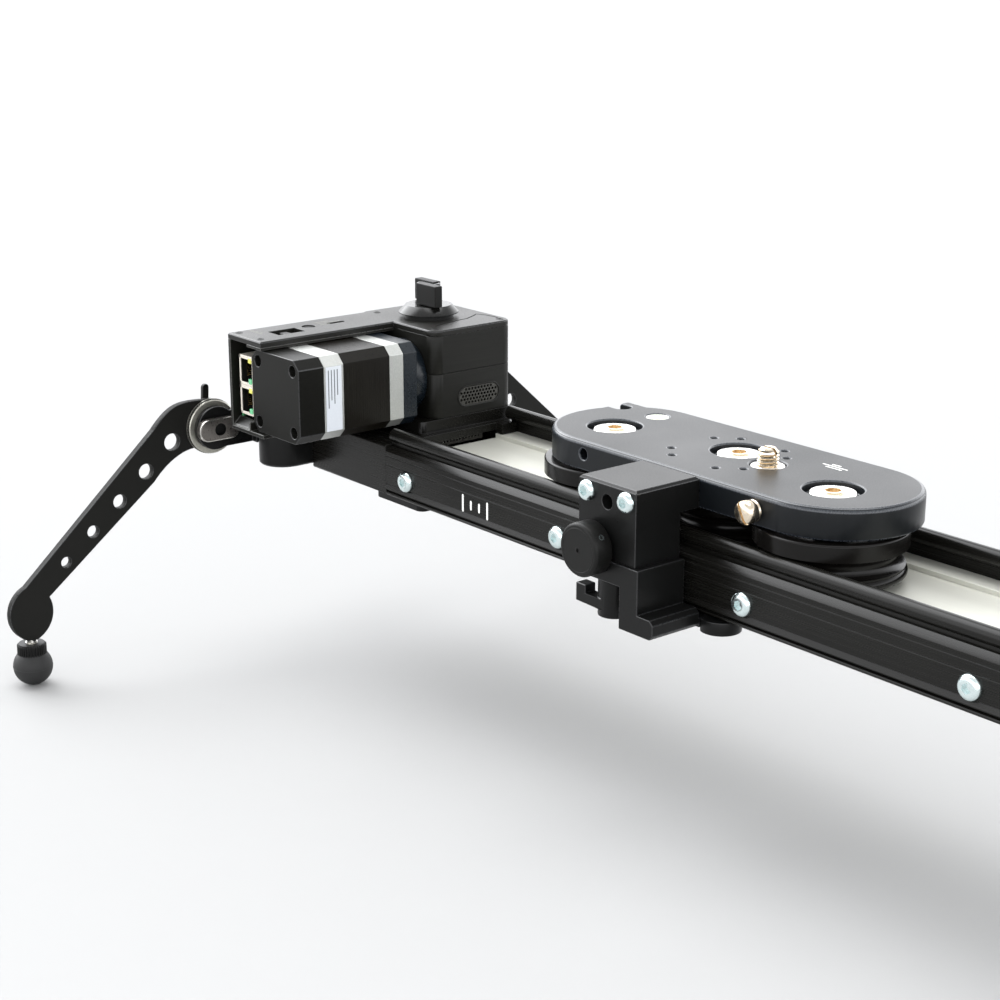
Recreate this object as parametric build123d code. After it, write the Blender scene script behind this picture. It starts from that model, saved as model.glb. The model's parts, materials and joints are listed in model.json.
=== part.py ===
"""Motorised camera slider: a double-rail track on four folding legs, with a roller carriage, a brake,
a belt drive under the bed and a geared stepper drive unit at one end.

Millimetres.  X runs along the rails towards the idler end, Y across them, Z up.  Every piece is set out
from the middle of the track at the height of the row of side screws, and write() lifts it by ROW_HEIGHT,
so that the feet stand on Z = 0.
"""
import os
from math import cos, radians, sin

from build123d import *

os.makedirs("parts", exist_ok=True)

# ---- driving dimensions ------------------------------------------------------------------------
ROW_HEIGHT = 107.8          # side screws above the floor
TRACK_HALF = 487.25         # middle of the track to the inner face of an end bar
BASE_LENGTH = 66.0          # each end base, along X
RAIL_HALF = TRACK_HALF - BASE_LENGTH
HALF_WIDTH = 43.55          # middle of the track to a rail's outer face
RAIL_BOTTOM = -10.4
LEDGE_TOP = 15.5            # top of a rail's side wall
WALL = 4.4                  # thickness of a rail's side wall
BEAD_INSET = 6.0            # bead centre, inward of the outer face
BEAD_Z = 19.6
BEAD_R = 3.5
SCREW_PITCH = 115.5
SCREWS_PER_SIDE = 8
SIDE_SCREW_R = 2.5
SIDE_SCREW_HEAD_R = 5.4
SIDE_SCREW_LENGTH = 10.0
SCREW_DOME = 2.75           # height of a button head

BED_TOP = 7.5
BED_SKIN = 2.5
BED_LEDGE_TOP = 9.7
BED_LEDGE_INNER = 27.5
BED_HALF = HALF_WIDTH - WALL - 0.05
BED_BOTTOM = -7.3

FIT = 0.05                  # radial clearance of a running fit
GAP = 0.3                   # gap between a moving piece and its neighbour

CARRIAGE_X = -225.85        # carriage centre at rest
PLATE_LENGTH = 197.5
PLATE_WIDTH = 72.4
PLATE_TOP = 45.6
PLATE_BOTTOM = 32.0
ROLLER_PITCH = 66.2
ROLLER_Y = 6.6
ROLLER_R = 32.3
ROLLER_TOP = 31.2
ROLLER_BOTTOM = 10.4
BEARING_R = 11.0
AXLE_R = 4.0
BEARING_LOW = 12.5
BEARING_HIGH = 26.5
AXLE_RECESS_Z = 41.3        # floor of the plate's recess for an axle bolt
AXLE_RECESS_R = 12.7
HEAD_HOLE_R = 1.65
HEAD_HOLES = [(22.0, 13.3), (13.3, 21.4)]
PLATE_EDGE = PLATE_WIDTH / 2
STUD_X = CARRIAGE_X + 23.4
STUD_R = 4.76               # 3/8 inch camera thread
STUD_TIP = 53.0
STUD_SEAT_Z = 43.0
STUD_FLANGE_R = 7.7
LEVEL_X = CARRIAGE_X - 66.2
LEVEL_Y = 20.4
LEVEL_Z = 40.5
LEVEL_R = 5.5
EDGE_HOLE_X = CARRIAGE_X - 54.7
EDGE_HOLE_Z = 39.5
EDGE_HOLE_R = 2.5
SPARE_X = CARRIAGE_X + 50.2
SPARE_Z = 38.2
SPARE_HEAD = 7.5
SPARE_SHANK_R = 3.15
BLOCK_X0 = CARRIAGE_X - 16.1
BLOCK_X1 = CARRIAGE_X + 19.0
BLOCK_FRONT = -72.5
BLOCK_BACK = -47.0
BLOCK_SCREWS = [CARRIAGE_X - 10.6, CARRIAGE_X + 13.4]
BLOCK_SCREW_Z = 39.8
BLOCK_SCREW_R = 2.45
ARM_TOP = 12.5
ARM_BOTTOM = -15.5
BRAKE_X = CARRIAGE_X - 3.6
BRAKE_Z = 17.2
BRAKE_SCREW_R = 4.0
CLAMP_TOP = -11.2           # top of what passes under the near rail
CLAMP_SEAM_Y = -40.0        # where the brake arm ends and the belt clamp starts
TOE_REACH = 12.7            # brake arm's toe beyond the block

MOTOR_X = -TRACK_HALF + 37.3
MOTOR_Z = 41.9
MOTOR_SIDE = 42.3
MOTOR_CHAMFER = 4.5
MOTOR_REAR_Y = -89.2
MOTOR_HOLE_PITCH = 31.0
# lengths of the motor's and the gearbox's pieces from the rear face forward
END_CAP_LENGTH = 14.9
REAR_BELL_LENGTH = 11.6
STACK_LENGTH = 28.0
FRONT_BELL_LENGTH = 8.6
GEAR_FLANGE_LENGTH = 8.5
GEAR_BODY_R = 19.0
GEAR_PILOT_R = 11.0
MOTOR_SCREW_R = 1.5
SCREW_SINK = 6.0            # depth of a motor screw's seat in the end cap
SCREW_END = 4.0             # how far a motor screw enters the front bell
MOTOR_SHAFT_R = 2.5
REAR_BELL_Y = MOTOR_REAR_Y + END_CAP_LENGTH
STACK_Y = REAR_BELL_Y + REAR_BELL_LENGTH
FRONT_BELL_Y = STACK_Y + STACK_LENGTH
GEARBOX_Y0 = FRONT_BELL_Y + FRONT_BELL_LENGTH
GEARBOX_Y1 = GEARBOX_Y0 + GEAR_FLANGE_LENGTH
BEVEL_R = 9.0
BEVEL_LENGTH = 5.0
BEVEL_OFFSET = 4.6          # small end of a bevel gear from the other shaft's axis

HOUSING_X0 = -TRACK_HALF - 4.4
HOUSING_X1 = -TRACK_HALF + 61.8
HOUSING_Y0 = -9.5
HOUSING_Y1 = 42.5
HOUSING_BOTTOM = 21.8
HOUSING_SPLIT = 45.1
HOUSING_TOP = 65.0
HOUSING_WALL = 3.0
HOUSING_CORNER = 6.0
TOP_PLATE_TOP = 68.0
RISER_Y0 = -17.3            # step of the drive base under the housing
VENT_Y = 19.7
VENT_Z = 31.4
VENT_LENGTH = 26.0
VENT_HEIGHT = 9.7
VENT_RECESS = 1.2

CASE_X0 = -TRACK_HALF - 2.6
CASE_X1 = -TRACK_HALF + 15.7
CASE_FLANGE_X1 = -TRACK_HALF + 27.7
CASE_Y0 = -91.0
CASE_BOTTOM = 18.4
CASE_TOP_FLANGE = 63.5
SWITCH_X = -TRACK_HALF + 13.5
SWITCH_Y = -66.0
BUTTON_X = -TRACK_HALF + 10.0
BUTTON_Y = -50.5
BUTTON_R = 3.3
JACK_X0 = CASE_X1 - 11.6
JACK_X1 = CASE_X1 - 0.1
JACK_Y0 = -88.6
JACK_DEPTH = 17.0
JACK_HEIGHT = 15.2
JACK_LOW = 27.4

SHAFT_Y = 14.5              # vertical drive shaft and both belt pulleys
SHAFT_R = 4.0
PULLEY_R = 11.3             # pulley's running surface
BELT_THICK = 1.4
BELT_Z0 = -5.5
BELT_Z1 = 0.5
KNOB_X = -TRACK_HALF + 27.5
KNOB_Y = 13.5
STEM_R = 4.0
COLLAR_R = 15.8
COLLAR_HEIGHT = 6.6

END_BAR_THICK = 26.0
END_BAR_REACH = 66.2        # half length across the track
END_BAR_TOP = 15.5
END_BAR_BOTTOM = -8.4
TRIPOD_THREAD_R = 4.0       # core of a 3/8 inch thread
HUB_Y = 83.1
HUB_Z = 11.3
LEG_X0 = TRACK_HALF + 37.0
LEG_THICK = 4.0
FOOT_Y = 109.1              # foot's axis outward of the hub
FOOT_BALL_R = 10.0
FOOT_COLLAR_R = 7.4
FOOT_STUD_R = 3.0
FOOT_TIP_R = 1.3            # end of the stud that screws into the leg
LEG_SOLE_Z = HUB_Z - 95.1
BRACKET_THICK = 8.0
ROSETTE_R = 14.8
BRACKET_R = 11.6
ROSETTE_THICK = 2.7
CLAMP_SHANK_R = 4.0

NAMES = []


# ---- small helpers -----------------------------------------------------------------------------
def block(x0, x1, y0, y1, z0, z1):
    """A box between two corners."""
    size = Box(abs(x1 - x0), abs(y1 - y0), abs(z1 - z0))
    return Pos((x0 + x1) / 2, (y0 + y1) / 2, (z0 + z1) / 2) * size


def rod_x(x0, x1, y, z, r):
    return Pos((x0 + x1) / 2, y, z) * Rot(0, 90, 0) * Cylinder(r, abs(x1 - x0))


def rod_y(x, y0, y1, z, r):
    return Pos(x, (y0 + y1) / 2, z) * Rot(90, 0, 0) * Cylinder(r, abs(y1 - y0))


def rod_z(x, y, z0, z1, r):
    return Pos(x, y, (z0 + z1) / 2) * Cylinder(r, abs(z1 - z0))


def ring_z(x, y, z0, z1, r, bore):
    return rod_z(x, y, z0, z1, r) - rod_z(x, y, z0 - 1, z1 + 1, bore)


def upright_block(x0, x1, y0, y1, z0, z1, corner):
    """A box whose vertical edges are rounded."""
    outline = RectangleRounded(abs(x1 - x0), abs(y1 - y0), corner)
    return extrude(Pos((x0 + x1) / 2, (y0 + y1) / 2, z0) * outline, z1 - z0)


def slot_plate(x, y, z0, z1, length, width):
    """A plate with two round ends, long along X."""
    return extrude(Pos(x, y, z0) * SlotOverall(length, width), z1 - z0)


def group(solids):
    return Compound(children=list(solids))


def mirrored(shape, flip_x, flip_y):
    """The same piece at another corner of the track."""
    if flip_x:
        shape = mirror(shape, Plane.YZ)
    if flip_y:
        shape = mirror(shape, Plane.XZ)
    return shape


def write(name, shape):
    NAMES.append(name)
    export_step(Pos(0, 0, ROW_HEIGHT) * shape, "parts/" + name + ".step")


# ---- track -------------------------------------------------------------------------------------
def rail_section():
    """Rail profile at the near side, drawn with the outer face on the line y = 0 and inward positive."""
    height = LEDGE_TOP - RAIL_BOTTOM
    wall = Pos(WALL / 2, RAIL_BOTTOM + height / 2) * Rectangle(WALL, height)
    foot_reach = 12.0
    foot_thick = 3.0
    foot = Pos(foot_reach / 2, RAIL_BOTTOM + foot_thick / 2) * Rectangle(foot_reach, foot_thick)
    neck_x0 = 2.6
    neck = make_face(
        Polyline((neck_x0, LEDGE_TOP - 1), (WALL, LEDGE_TOP - 1), (WALL, LEDGE_TOP),
                 (BEAD_INSET, BEAD_Z - 1), (BEAD_INSET - 2.6, BEAD_Z), (neck_x0, LEDGE_TOP + 1), close=True))
    bead = Pos(BEAD_INSET, BEAD_Z) * Circle(BEAD_R)
    groove_depth = 0.7
    groove_height = 1.1
    groove_z = RAIL_BOTTOM + 3.6
    groove = Pos(groove_depth / 2, groove_z) * Rectangle(groove_depth, groove_height)
    return wall + foot + neck + bead - groove


def near_rail():
    rail = extrude(Plane.YZ.offset(-RAIL_HALF) * Pos(-HALF_WIDTH, 0) * rail_section(), 2 * RAIL_HALF)
    for x in screw_places():
        rail -= rod_y(x, -HALF_WIDTH - 1, -HALF_WIDTH + WALL + 1, 0, SIDE_SCREW_R + FIT)
    return rail


def screw_places():
    first = -SCREW_PITCH * (SCREWS_PER_SIDE - 1) / 2
    return [first + SCREW_PITCH * i for i in range(SCREWS_PER_SIDE)]


def button_screw(x, y, z, head_r, shank_r, length):
    """A button-head screw driven in along +Y, with the back of its head at y."""
    dome_height = SCREW_DOME
    dome = ThreePointArc((0, -dome_height), (head_r * 0.68, -dome_height * 0.66), (head_r, 0))
    dome += Polyline((head_r, 0), (0, 0), (0, -dome_height))
    head = Pos(x, y, z) * revolve(make_face(dome), Axis.Y, 360)
    socket_depth = 1.6
    apex = Plane.XZ.offset(dome_height - y + 1)
    socket = extrude(apex * Pos(x, z) * RegularPolygon(head_r * 0.42, 6), -socket_depth - 1)
    return head + rod_y(x, y - 1, y + length, z, shank_r) - socket


def side_screws():
    screws = []
    for x in screw_places():
        screw = button_screw(x, -HALF_WIDTH, 0, SIDE_SCREW_HEAD_R, SIDE_SCREW_R, SIDE_SCREW_LENGTH)
        screws += [screw, mirrored(screw, False, True)]
    return group(screws)


def bed_plate():
    """Silver channel between the rails: a floor skin on two solid side runs with raised edge ledges."""
    leg_inner = 29.0
    length = 2 * RAIL_HALF
    skin = Pos(0, BED_TOP - BED_SKIN / 2) * Rectangle(2 * BED_HALF, BED_SKIN)
    section = skin
    for side in (-1, 1):
        leg = Pos(side * (leg_inner + BED_HALF) / 2, (BED_BOTTOM + BED_TOP) / 2)
        section += leg * Rectangle(BED_HALF - leg_inner, BED_TOP - BED_BOTTOM)
        ledge = Pos(side * (BED_LEDGE_INNER + BED_HALF) / 2, BED_TOP + (BED_LEDGE_TOP - BED_TOP) / 2)
        section += ledge * Rectangle(BED_HALF - BED_LEDGE_INNER, BED_LEDGE_TOP - BED_TOP)
    bed = extrude(Plane.YZ.offset(-RAIL_HALF) * section, length)
    for x in screw_places():
        for side in (-1, 1):
            bed -= rod_y(x, side * BED_HALF, side * (BED_HALF - SIDE_SCREW_LENGTH + WALL), 0, SIDE_SCREW_R)
    return bed


def end_base(with_riser):
    """Hollow block that carries a belt pulley, made at the drive end."""
    x0 = -TRACK_HALF
    x1 = x0 + BASE_LENGTH
    side_wall = 10.5
    end_wall = 6.0
    floor = 3.0
    roof = 4.0
    cavity_half = HALF_WIDTH - side_wall
    base = block(x0, x1, -HALF_WIDTH, HALF_WIDTH, RAIL_BOTTOM, LEDGE_TOP)
    upright = base.edges().filter_by(Axis.X)
    base = fillet(upright, 1.2)
    base -= block(x0 + end_wall, x1 + 1, -cavity_half, cavity_half, RAIL_BOTTOM + floor, LEDGE_TOP - roof)
    base += block(x1, x1 + 5, 28, 38, BED_LEDGE_TOP + 0.2, LEDGE_TOP)
    bore = SHAFT_R
    if with_riser:
        bore += FIT
        base += upright_block(HOUSING_X0, HOUSING_X1, RISER_Y0, HOUSING_Y1, LEDGE_TOP, HOUSING_BOTTOM, 3)
        base -= rod_z(MOTOR_X, SHAFT_Y, LEDGE_TOP - roof - 1, HOUSING_BOTTOM + 1, bore)
    return base - rod_z(MOTOR_X, SHAFT_Y, RAIL_BOTTOM - 1, RAIL_BOTTOM + floor + 1, bore)


def end_bar():
    x0 = -TRACK_HALF - END_BAR_THICK
    bar = Pos(x0 + END_BAR_THICK / 2, 0, END_BAR_BOTTOM) * SlotOverall(2 * END_BAR_REACH, END_BAR_THICK, 90)
    bar = extrude(bar, END_BAR_TOP - END_BAR_BOTTOM)
    rims = bar.faces().sort_by(Axis.Z)[-1].edges() + bar.faces().sort_by(Axis.Z)[0].edges()
    return chamfer(rims, 0.8)


def tripod_block():
    """Plate under an end joint of the track, threaded 3/8 inch for a tripod."""
    centre = -TRACK_HALF + 68.1
    half_length = 19.6
    thick = 5.6
    bottom = RAIL_BOTTOM - thick
    plate = upright_block(centre - half_length, centre + half_length, -38, 38, bottom, RAIL_BOTTOM, 4)
    return plate - rod_z(centre, 0, bottom - 1, RAIL_BOTTOM + 1, TRIPOD_THREAD_R)


# ---- legs --------------------------------------------------------------------------------------
def leg_outline():
    """Leg in its own plane from the hub at (0, 0); negative first coordinate is outward."""
    shoulder = Spline((-2.5, 14.4), (-11.5, 14.9), (-21, 13.4), (-28.1, 8.9), (-34, 2.9))
    outer = Line((-34, 2.9), (-111, -66.4))
    toe = ThreePointArc((-111, -66.4), (-120.4, -82.5), (-111, -95.1))
    sole = Line((-111, -95.1), (-106, -95.1))
    heel = ThreePointArc((-106, -95.1), (-98.9, -89), (-98.1, -74))
    inner = Line((-98.1, -74), (-34.8, -24.7))
    throat = Spline((-34.8, -24.7), (-23.5, -15), (-13.5, -11), (-2.7, -11.5))
    under_hub = ThreePointArc((-2.7, -11.5), (7.6, -9.0), (12.3, -1))
    back = ThreePointArc((12.3, -1), (9.4, 9.6), (-2.5, 14.4))
    return make_face(shoulder + outer + toe + sole + heel + inner + throat + under_hub + back)


def near_drive_leg():
    face = Plane.YZ.offset(-LEG_X0 - LEG_THICK) * Pos(-HUB_Y, HUB_Z) * leg_outline()
    leg = extrude(face, LEG_THICK)
    plane_x0 = -LEG_X0 - LEG_THICK - 1
    plane_x1 = -LEG_X0 + 1
    leg -= rod_x(plane_x0, plane_x1, -HUB_Y, HUB_Z, CLAMP_SHANK_R + FIT)
    first_hole_y = -HUB_Y - 23.3
    first_hole_z = HUB_Z - 5.1
    hole_step_y = 16.1
    hole_step_z = 13.15
    for i in range(5):
        hole_r = 4.5 - 0.43 * i
        hole_y = first_hole_y - hole_step_y * i
        hole_z = first_hole_z - hole_step_z * i
        leg -= rod_x(plane_x0, plane_x1, hole_y, hole_z, hole_r)
    foot_x = -LEG_X0 - LEG_THICK / 2
    return leg - rod_z(foot_x, -HUB_Y - FOOT_Y, LEG_SOLE_Z - 1, LEG_SOLE_Z + 14.6, FOOT_TIP_R + FIT)


def near_drive_foot():
    """Rubber ball under a knurled collar, on a stud that screws into the leg."""
    x = -LEG_X0 - LEG_THICK / 2
    y = -HUB_Y - FOOT_Y
    ball_z = -ROW_HEIGHT + FOOT_BALL_R
    foot = Pos(x, y, ball_z) * Sphere(FOOT_BALL_R)
    collar_top = LEG_SOLE_Z - 1.6
    foot += rod_z(x, y, ball_z + 6, collar_top, FOOT_COLLAR_R)
    foot += rod_z(x, y, ball_z + 8, LEG_SOLE_Z - 0.4, FOOT_STUD_R)
    return foot + rod_z(x, y, ball_z + 8, LEG_SOLE_Z + 12.6, FOOT_TIP_R)


def near_drive_bracket():
    """Arm from the end bar's outer face out to the hub."""
    x1 = -TRACK_HALF - END_BAR_THICK
    x0 = x1 - BRACKET_THICK
    cheek_x1 = x0 + 3.7
    low = HUB_Z - 10.7
    high = HUB_Z + 8.5
    arm = rod_x(x0, cheek_x1, -HUB_Y, HUB_Z, BRACKET_R)
    arm += block(x0, cheek_x1, -HUB_Y, -40, low, high)
    arm += block(cheek_x1, x1, -61.5, -40, low, high)
    return arm - rod_x(x0 - 1, cheek_x1 + 1, -HUB_Y, HUB_Z, CLAMP_SHANK_R + FIT)


def near_drive_rosette():
    """Light metal friction washer between the bracket and the leg."""
    x1 = -TRACK_HALF - END_BAR_THICK - BRACKET_THICK
    x0 = x1 - ROSETTE_THICK
    disc = rod_x(x0, x1, -HUB_Y, HUB_Z, ROSETTE_R)
    return disc - rod_x(x0 - 1, x1 + 1, -HUB_Y, HUB_Z, CLAMP_SHANK_R + FIT)


def near_drive_clamp():
    """Cross bolt: a stadium-shaped grip bar inside, a shank through the hub and a short lever outside."""
    x1 = -TRACK_HALF - END_BAR_THICK - 0.6
    grip_thick = 3.4
    outline = Pos(-HUB_Y, HUB_Z) * SlotOverall(25.0, 11.8)
    grip = extrude(Plane.YZ.offset(x1 - grip_thick) * outline, grip_thick)
    grip -= rod_x(x1 - 2.5, x1 + 1, -HUB_Y, HUB_Z, 3.3)
    out_x = -LEG_X0 - LEG_THICK - GAP
    head_thick = 3.2
    clamp = grip + rod_x(out_x - head_thick + 0.2, x1 - grip_thick + 0.4, -HUB_Y, HUB_Z, CLAMP_SHANK_R)
    clamp += rod_x(out_x - head_thick, out_x, -HUB_Y, HUB_Z, 8.0)
    tilt_deg = 3.0
    lever_length = 16.5
    lever_centre = lever_length / 2 + 5
    mid_y = -HUB_Y + sin(radians(tilt_deg)) * lever_centre
    mid_z = HUB_Z + cos(radians(tilt_deg)) * lever_centre
    lever = Box(2.4, 3.6, lever_length)
    lever = chamfer(lever.edges().filter_by(Axis.X), 0.9)
    return clamp + Pos(out_x - head_thick / 2, mid_y, mid_z) * Rot(-tilt_deg, 0, 0) * lever


CORNERS = [("drive_near", False, False), ("drive_far", False, True),
           ("idler_near", True, False), ("idler_far", True, True)]


def at_corners(shape):
    return [mirrored(shape, flip_x, flip_y) for _, flip_x, flip_y in CORNERS]


# ---- carriage ----------------------------------------------------------------------------------
def roller_places():
    """Axle positions: the end rollers run on the near bead and the middle one on the far bead."""
    return [("drive_side_roller", CARRIAGE_X - ROLLER_PITCH, -ROLLER_Y),
            ("middle_roller", CARRIAGE_X, ROLLER_Y),
            ("idler_side_roller", CARRIAGE_X + ROLLER_PITCH, -ROLLER_Y)]


def roller(x, y):
    """Turned roller whose groove runs on a bead, with a flat upper disc and a rounded lower flange."""
    groove_centre = HALF_WIDTH - BEAD_INSET - ROLLER_Y
    groove_r = BEAD_R + GAP
    lip = groove_centre + 0.2
    rise = (groove_r**2 - (lip - groove_centre) ** 2) ** 0.5
    flange_r = ROLLER_R - 0.6
    bore = BEARING_R + FIT
    top = ROLLER_TOP
    low = ROLLER_BOTTOM
    outline = Polyline((lip, BEAD_Z + rise), (ROLLER_R, BEAD_Z + rise + 0.1), (ROLLER_R, top - 0.8),
                       (ROLLER_R - 0.8, top), (bore, top), (bore, low), (flange_r - 2.0, low))
    outline += ThreePointArc((flange_r - 2.0, low), (flange_r, (low + BEAD_Z - rise) / 2),
                             (lip, BEAD_Z - rise))
    outline += ThreePointArc((lip, BEAD_Z - rise), (groove_centre - groove_r, BEAD_Z), (lip, BEAD_Z + rise))
    return Pos(x, y, 0) * revolve(Plane.XZ * make_face(outline), Axis.Z, 360)


def axle_bolt(x, y):
    """Roller axle screwed down through the plate, with its washer and its retaining nut."""
    washer_z = AXLE_RECESS_Z + 0.1
    head_z = washer_z + 2.6
    head_top = head_z + 1.0
    low = ROLLER_BOTTOM - 0.2
    bolt = rod_z(x, y, low, head_z, AXLE_R)
    bolt += rod_z(x, y, washer_z, head_z, 9.9)
    head = rod_z(x, y, head_z, head_top, 6.5)
    bolt += chamfer(head.edges().sort_by(Axis.Z)[-1], 0.5)
    bolt += rod_z(x, y, low, BEARING_LOW - 0.1, 7.0)
    return bolt - extrude(Pos(x, y, head_top) * RegularPolygon(3.6, 6), -2.6)


def roller_bearing(x, y):
    """Ball bearing pair with the spacer above it, as one ring."""
    bearing = ring_z(x, y, BEARING_LOW, BEARING_HIGH, BEARING_R, AXLE_R)
    return bearing + ring_z(x, y, BEARING_HIGH, PLATE_BOTTOM, 7.0, AXLE_R)


def carriage_plate():
    plate = slot_plate(CARRIAGE_X, 0, PLATE_BOTTOM, PLATE_TOP, PLATE_LENGTH, PLATE_WIDTH)
    lug_x0 = CARRIAGE_X - PLATE_LENGTH / 2
    lug = block(lug_x0 + 2, lug_x0 + 34, 8, 30, PLATE_BOTTOM, PLATE_TOP)
    lug = fillet(lug.edges().filter_by(Axis.Z), 2.5)
    plate += lug
    plate = chamfer(plate.faces().sort_by(Axis.Z)[-1].outer_wire().edges(), 1.3)
    plate -= slot_plate(lug_x0 + 2, 20, PLATE_BOTTOM - 1, PLATE_TOP + 1, 22, 8.5)
    for _, x, y in roller_places():
        plate -= rod_z(x, y, AXLE_RECESS_Z, PLATE_TOP + 1, AXLE_RECESS_R)
        plate -= rod_z(x, y, PLATE_BOTTOM - 1, AXLE_RECESS_Z + 1, AXLE_R + FIT)
    for dx, dy in HEAD_HOLES:
        for sx in (-1, 1):
            for sy in (-1, 1):
                plate -= rod_z(CARRIAGE_X + sx * dx, sy * dy, PLATE_BOTTOM - 1, PLATE_TOP + 1, HEAD_HOLE_R)
    plate -= rod_z(STUD_X, 0, STUD_SEAT_Z, PLATE_TOP + 1, STUD_FLANGE_R + GAP)
    plate -= rod_z(STUD_X, 0, PLATE_BOTTOM - 1, STUD_SEAT_Z + 1, STUD_R + FIT)
    plate -= rod_z(LEVEL_X, LEVEL_Y, LEVEL_Z, PLATE_TOP + 1, LEVEL_R + FIT)
    plate -= rod_y(EDGE_HOLE_X, -PLATE_EDGE - 1, -PLATE_EDGE + 14, EDGE_HOLE_Z, EDGE_HOLE_R)
    return plate - rod_y(SPARE_X, -PLATE_EDGE - 1, -PLATE_EDGE + 10, SPARE_Z, SPARE_SHANK_R)


def camera_screw():
    """Slotted 3/8 inch stud with a flange that lies in the plate's recess."""
    stud = rod_z(STUD_X, 0, PLATE_BOTTOM + 1, STUD_TIP, STUD_R)
    stud = chamfer(stud.edges().sort_by(Axis.Z)[-1], 1.0)
    stud += rod_z(STUD_X, 0, STUD_SEAT_Z + 0.2, STUD_SEAT_Z + 2.0, STUD_FLANGE_R)
    return stud - block(STUD_X - 6, STUD_X + 6, -0.8, 0.8, STUD_TIP - 3, STUD_TIP + 1)


def bubble_level():
    vial = rod_z(LEVEL_X, LEVEL_Y, LEVEL_Z, PLATE_TOP - 0.4, LEVEL_R)
    return chamfer(vial.edges().sort_by(Axis.Z)[-1], 0.4)


def spare_camera_screw():
    """Slotted screw kept in the plate's near edge."""
    front = -PLATE_EDGE - SPARE_HEAD
    head = rod_y(SPARE_X, front, -PLATE_EDGE, SPARE_Z, 5.0)
    head = chamfer(head.edges().sort_by(Axis.Y)[0], 1.0)
    head += rod_y(SPARE_X, -PLATE_EDGE, -PLATE_EDGE + 9, SPARE_Z, SPARE_SHANK_R)
    return head - block(SPARE_X - 6, SPARE_X + 6, front - 1, front + 2, SPARE_Z - 0.8, SPARE_Z + 0.8)


def brake_block():
    """Block bolted to the plate's near edge; the brake screw runs through it to the rail."""
    body = block(BLOCK_X0, BLOCK_X1, BLOCK_FRONT, BLOCK_BACK, ARM_TOP, PLATE_TOP)
    body += block(BLOCK_X0, BLOCK_X1, BLOCK_BACK, -PLATE_EDGE, PLATE_BOTTOM, PLATE_TOP)
    rim = body.faces().sort_by(Axis.Z)[-1].edges()
    body = chamfer(rim, 1.2)
    for x in BLOCK_SCREWS:
        body -= rod_y(x, BLOCK_FRONT - 1, -PLATE_EDGE + 1, BLOCK_SCREW_Z, BLOCK_SCREW_R + FIT)
    body -= rod_y(CARRIAGE_X + 1.4, BLOCK_FRONT - 1, BLOCK_FRONT + 18, 37.3, 3.2)
    return body - rod_y(BRAKE_X, BLOCK_FRONT - 1, BLOCK_BACK + 1, BRAKE_Z, BRAKE_SCREW_R + FIT)


def carriage_screws():
    return group(button_screw(x, BLOCK_FRONT, BLOCK_SCREW_Z, 4.6, BLOCK_SCREW_R, 34) for x in BLOCK_SCREWS)


def brake_knob():
    """Round knob on a screw whose soft tip presses on the rail's side."""
    front = -84.0
    back = -75.0
    knob = rod_y(BRAKE_X, front, back, BRAKE_Z, 11.7)
    knob = chamfer(knob.edges().sort_by(Axis.Y)[0], 0.9)
    knob -= rod_y(BRAKE_X, front - 1, front + 1, BRAKE_Z, 1.0)
    return knob + rod_y(BRAKE_X, back, -HALF_WIDTH - 0.5, BRAKE_Z, BRAKE_SCREW_R)


def brake_arm():
    """Lower arm under the brake block: a bar with a post and hook, and a leg whose foot turns inward."""
    front = BLOCK_FRONT - 1.5
    x1 = BLOCK_X1 + 3.2
    bar_low = 3.0
    bar = block(BLOCK_X0 + 1.5, x1, front, BLOCK_BACK, bar_low, ARM_TOP)
    leg = block(x1 - 11, x1, front, BLOCK_BACK, ARM_BOTTOM, bar_low)
    foot_x0 = x1 - 8.0
    foot_x1 = BLOCK_X1 + TOE_REACH
    foot = block(foot_x0, foot_x1, front, BLOCK_BACK, ARM_BOTTOM, -6.8)
    foot = chamfer(foot.edges().filter_by(Axis.Y).sort_by(Axis.X)[-2:], 2.0)
    toe = block(foot_x0, foot_x1, BLOCK_BACK, CLAMP_SEAM_Y, ARM_BOTTOM, CLAMP_TOP)
    post_x = CARRIAGE_X - 0.2
    post = rod_z(post_x, -66, -14, bar_low, 7.0)
    hook_x0 = BLOCK_X0 - 0.8
    hook_low = -10.6
    hook = block(hook_x0, post_x, -73, -67, hook_low, -6)
    tip = block(hook_x0, hook_x0 + 6, -73, -67, hook_low, -2.4)
    return bar + leg + foot + toe + post + hook + tip


def belt_clamp():
    """Carrier under the near rail that grips the belt's near run between two jaws."""
    x0 = BLOCK_X1 - 3
    x1 = BLOCK_X1 + 9
    run_y = SHAFT_Y - PULLEY_R - BELT_THICK / 2
    half = BELT_THICK / 2 + GAP
    low = BELT_Z0 - 0.6
    jaw = 6.0
    bar = block(x0, x1, CLAMP_SEAM_Y, run_y + jaw, -15.2, CLAMP_TOP)
    foot = rod_z(BLOCK_X1 + 17, -38.5, -17, CLAMP_TOP, 9.0)
    bar += foot - block(x0 - 20, BLOCK_X1 + TOE_REACH, -80, CLAMP_SEAM_Y, -30, 0)
    bar += block(x0, x1, run_y - jaw, run_y - half, CLAMP_TOP, BELT_Z1)
    bar += block(x0, x1, run_y + half, run_y + jaw, CLAMP_TOP, BELT_Z1)
    return bar + block(x0, x1, run_y - jaw, run_y + jaw, CLAMP_TOP, low)


# ---- drive unit --------------------------------------------------------------------------------
def motor_section(length, y0, bore=0.0):
    """Length of square motor body with bevelled corners, from y0 forward."""
    outline = chamfer(Rectangle(MOTOR_SIDE, MOTOR_SIDE).vertices(), MOTOR_CHAMFER)
    body = extrude(Plane.XZ.offset(-y0) * Pos(MOTOR_X, MOTOR_Z) * outline, -length)
    if bore:
        body -= rod_y(MOTOR_X, y0 - 1, y0 + length + 1, MOTOR_Z, bore)
    return body


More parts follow.
